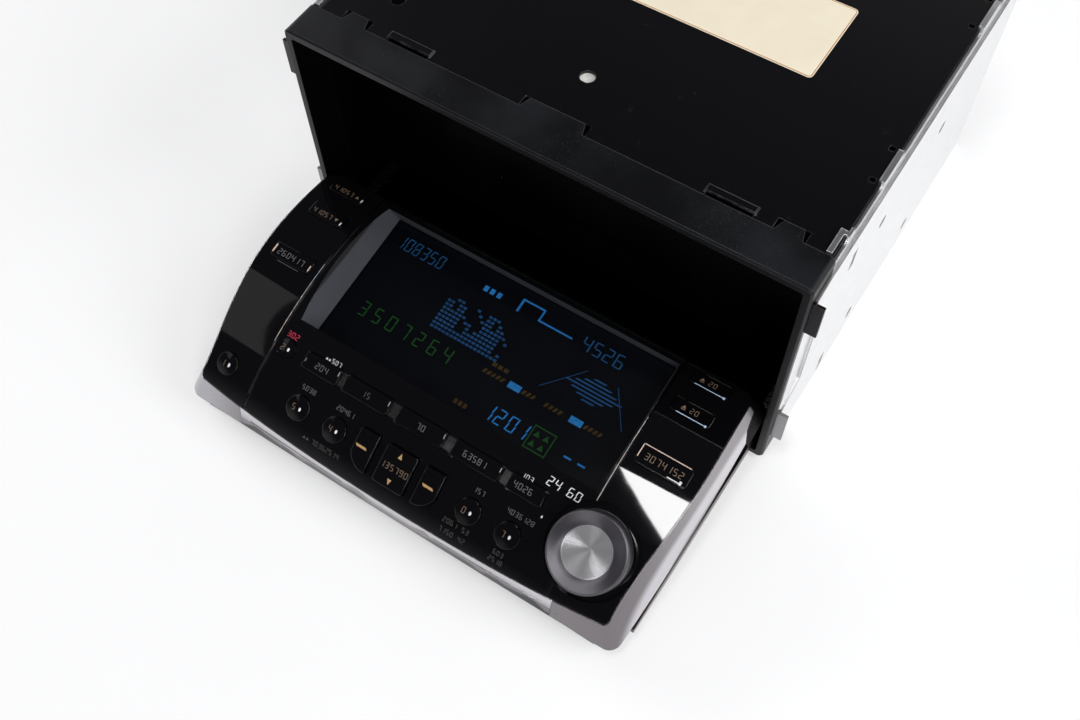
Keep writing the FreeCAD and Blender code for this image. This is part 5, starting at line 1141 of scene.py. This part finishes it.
def row_tree():
    """Geometry Nodes tree that sets a small bar along a line, a given number of times."""
    tree = bpy.data.node_groups.new("bar_row", "GeometryNodeTree")
    tree.interface.new_socket("Geometry", in_out="OUTPUT", socket_type="NodeSocketGeometry")
    for name, kind in (("Count", "Int"), ("Offset", "Vector"), ("Bar", "Vector"), ("Finish", "Material")):
        tree.interface.new_socket(name, in_out="INPUT", socket_type="NodeSocket" + kind)

    def add(kind, output, **inputs):
        node = tree.nodes.new(kind)
        for name, socket in inputs.items():
            tree.links.new(socket, node.inputs[name])
        return node.outputs[output]

    given = tree.nodes.new("NodeGroupInput").outputs
    line = add("GeometryNodeMeshLine", "Mesh", Count=given["Count"], Offset=given["Offset"])
    cube = add("GeometryNodeMeshCube", "Mesh", Size=given["Bar"])
    spread = add("GeometryNodeInstanceOnPoints", "Instances", Points=line, Instance=cube)
    real = add("GeometryNodeRealizeInstances", "Geometry", Geometry=spread)
    painted = add("GeometryNodeSetMaterial", "Geometry", Geometry=real, Material=given["Finish"])
    tree.links.new(painted, tree.nodes.new("NodeGroupOutput").inputs["Geometry"])
    return tree


def bar_row(tree, count, offset, bar, material):
    """Plain mesh of a row of bars with softened edges, made by the tree."""
    holder = put("bar_row", bpy.data.meshes.new("bar_row"))
    modifier = holder.modifiers.new("Row", "NODES")
    modifier.node_group = tree
    values = {"Count": count, "Offset": offset, "Bar": bar, "Finish": material}
    for item in tree.interface.items_tree:
        if item.in_out == "INPUT":
            modifier[item.identifier] = values[item.name]
    soften = holder.modifiers.new("Soften", "BEVEL")
    soften.width = min(bar) * 0.3
    soften.segments = 2
    view = bpy.context.evaluated_depsgraph_get()
    mesh = bpy.data.meshes.new_from_object(holder.evaluated_get(view))
    bpy.data.objects.remove(holder)
    return mesh


def joined(meshes, name):
    """One mesh of several."""
    build = bmesh.new()
    for mesh in meshes:
        build.from_mesh(mesh)
    return mesh_of(build, name)


def upon_face(origin, normal):
    """Moves and turns a mesh from the origin to a spot on the face, with its height along the normal."""
    side = Vector((1, 0, 0))
    return stance(side, normal.cross(side), normal, origin)


def rib_patches(tree):
    """Finely ribbed strips between the keys of the row."""
    meshes = []
    rib = tuple(side * MM for side in RIB_SIZE)
    for left, right in RIB_STRIPS:
        count = int((right - left) / RIB_PITCH) + 1
        mesh = bar_row(tree, count, (RIB_PITCH * MM, 0, 0), rib, MATERIALS["key_black"])
        normal = curve_normal(face_point(left, RIB_PLACE))
        mesh.transform(upon_face(face_point(left + RIB_START, RIB_PLACE, RIB_LIFT), normal))
        meshes.append(mesh)
    finished("row_ribs", joined(meshes, "row_ribs"), "panel", MATERIALS["key_black"], "key_black")


def socket_pins(tree):
    """Two rows of contacts in the power socket."""
    meshes = []
    pin = tuple(side * MM for side in PIN_SIZE)
    for z in PIN_HEIGHTS:
        mesh = bar_row(tree, PIN_COUNT, (PIN_PITCH * MM, 0, 0), pin, MATERIALS["plated_metal"])
        mesh.transform(Matrix.Translation(Vector((FIRST_PIN, PIN_DEPTH + FRAME_FRONT, z)) * MM))
        meshes.append(mesh)
    finished("socket_pins", joined(meshes, "socket_pins"), "case", MATERIALS["plated_metal"], "plated_metal")


def slot_lip():
    """Felt strip that hangs in the disc slot from its upper lip, with a slight wave."""
    build = bmesh.new()
    bmesh.ops.create_grid(build, x_segments=90, y_segments=3, size=0.5)
    size = Matrix.Diagonal((LIP_WIDTH * MM, LIP_HEIGHT * MM, 1, 1))
    bmesh.ops.transform(build, verts=build.verts, matrix=size)
    for vert in build.verts:
        vert.co.z = math.sin(vert.co.x * LIP_WAVES) * LIP_WAVE * MM
    extruded = bmesh.ops.extrude_face_region(build, geom=list(build.faces))
    for vert in [g for g in extruded["geom"] if isinstance(g, bmesh.types.BMVert)]:
        vert.co.z += LIP_THICKNESS * MM
    bmesh.ops.recalc_face_normals(build, faces=build.faces)
    mesh = mesh_of(build, "slot_felt")
    turn = Matrix.Rotation(math.radians(90), 4, "X")
    mesh.transform(Matrix.Translation(Vector((0, LIP_DEPTH + FRAME_FRONT, LIP_LEVEL)) * MM) @ turn)
    finished("slot_felt", mesh, "case", OTHER_FINISHES["felt"], "rubber")


def lens(name, x, place, radius, lift, body):
    """Tiny oval white bead that stands a little proud, a painted highlight."""
    build = bmesh.new()
    made = bmesh.ops.create_uvsphere(build, u_segments=20, v_segments=10, radius=radius * MM)
    centre = face_point(x, place, lift)
    oval = Matrix.Diagonal((1, BEAD_LENGTH, BEAD_HEIGHT, 1))
    bmesh.ops.transform(build, verts=made["verts"], matrix=upon_face(centre, curve_normal(centre)) @ oval)
    mesh = mesh_of(build, name)
    mesh.shade_smooth()
    finished(name, mesh, body, OTHER_FINISHES["white"], "smoked_glass")


# Camera, light and floor

def camera():
    """The photograph's viewpoint."""
    pitch, yaw, roll = (math.radians(angle) for angle in CAMERA_TURN)
    forward = Vector((-math.sin(yaw) * math.cos(pitch), math.cos(yaw) * math.cos(pitch), -math.sin(pitch)))
    level = Vector((math.cos(yaw), math.sin(yaw), 0))
    over = level.cross(forward)
    right = math.cos(roll) * level + math.sin(roll) * over
    up = math.cos(roll) * over - math.sin(roll) * level
    data = bpy.data.cameras.new("camera")
    data.lens = CAMERA_LENS
    data.sensor_width = 36.0
    data.clip_end = 50.0
    eye = put("camera", data)
    eye.matrix_world = stance(right, up, -forward, CAMERA_PLACE)
    bpy.context.scene.camera = eye


def softbox(name, place, target, width, height, power, across=(1.0, 0.0, 0.0)):
    """Rectangular lamp turned towards a point, with its width along a direction."""
    data = bpy.data.lights.new(name, "AREA")
    data.shape = "RECTANGLE"
    data.size = width
    data.size_y = height
    data.energy = power
    lamp = put(name, data)
    away = (Vector(place) - Vector(target)).normalized()
    level = Vector(across)
    level = (level - away * level.dot(away)).normalized()
    lamp.matrix_world = stance(level, away.cross(level), away, place)


def floor():
    """Pale floor that is white to the camera and keeps the shadow."""
    build = bmesh.new()
    bmesh.ops.create_circle(build, cap_ends=True, segments=96, radius=FLOOR_RADIUS)
    mesh = mesh_of(build, "floor")
    put("floor", mesh)
    f = Finish("floor", (0.82, 0.82, 0.83), roughness=0.7)
    f.wear(base_color=f.mix((0.8, 0.8, 0.81), (0.84, 0.84, 0.85), f.noise(60.0, 3.0)))
    seen = f.make("ShaderNodeLightPath", output="Is Camera Ray")
    gloss = f.make("ShaderNodeLightPath", output="Is Glossy Ray")
    through = f.make("ShaderNodeLightPath", output="Is Transmission Ray")
    white = f.make("ShaderNodeEmission", {}, {"Color": WHITE, "Strength": 1.0})
    distance = f.make("ShaderNodeVectorMath", {"operation": "LENGTH"}, {0: f.place()}, "Value")
    glowing = FLOOR_GLOW + distance.band(*FLOOR_FADE) * (1.0 - FLOOR_GLOW)
    share = (seen + gloss + through).clipped() * glowing
    blend = f.make("ShaderNodeMixShader", {}, {0: share, 1: Shade(f, f.surface.outputs[0]), 2: white})
    f.join(blend, f.tree.nodes["Material Output"].inputs["Surface"])
    mesh.materials.append(f.material)


def world():
    """White all round to the camera; to the object a pale room with a dark ceiling."""
    scene_world = bpy.data.worlds.new("studio")
    bpy.context.scene.world = scene_world
    scene_world.use_nodes = True
    w = Nodes(scene_world.node_tree)
    direction = w.make("ShaderNodeTexCoord", output="Generated")
    height = w.axis(direction, 2)
    room = w.mix((0.92, 0.93, 0.95), (0.035, 0.035, 0.04), height.band(*CEILING))
    seen = w.make("ShaderNodeLightPath", output="Is Camera Ray")
    background = w.tree.nodes["Background"]
    w.join(w.mix(room, WHITE, seen), background.inputs["Color"])
    background.inputs["Strength"].default_value = 1.0


def lighting():
    """Lamps of the studio: place, target, width, height, power and, for two, the way the width runs."""
    part = (0.0, 0.0, 0.05)
    softbox("front_softbox", (-0.034, -0.397, 1.25), (-0.034, -0.397, 0.0), 0.2, 0.4, 4.5,
            (0.972, 0.235, 0.0))
    softbox("side_softbox", (1.3, 0.3, 0.9), part, 0.9, 0.9, 18.0)
    softbox("back_softbox", (-0.1, 1.7, 0.6), part, 1.2, 0.5, 5.0)
    softbox("left_softbox", (-1.4, 0.2, 0.8), part, 0.8, 0.8, 10.0)
    softbox("near_softbox", (1.0, -1.1, 1.1), part, 0.5, 0.7, 13.0)
    softbox("dim_card", (-0.895, -0.696, 1.25), (-0.895, -0.696, 0.0), 0.2, 0.763, 0.163,
            (0.977, -0.212, 0.0))


def dress():
    """Gives every solid its finish, and smooth copies to the bright curved ones."""
    slots = {part["node"]: part["material_slot"] for part in frame["record"]["subparts"]}
    for node, slot in slots.items():
        if slot in ("gloss_black", "key_black"):
            dressed(node, slot, curved=True)
        elif node in SMOOTH:
            dressed(node, slot)
        else:
            mesh = NODES[node].data
            mesh.materials.clear()
            mesh.materials.append(OTHER_FINISHES[OWN_FINISH[node]] if node in OWN_FINISH else MATERIALS[slot])


def main():
    """Builds the looks of the part and its studio."""
    camera()
    dress()
    label()
    display()
    key_marks()
    round_keys()
    select_marks()
    face_marks()
    tree = row_tree()
    rib_patches(tree)
    socket_pins(tree)
    slot_lip()
    # White bead on the face, a painted highlight.
    lens("status_lens", 45.9, -24.5, 0.28, 0.0, "panel")
    cover_pads()
    floor()
    world()
    lighting()
    bpy.context.scene.view_settings.view_transform = "Standard"


main()
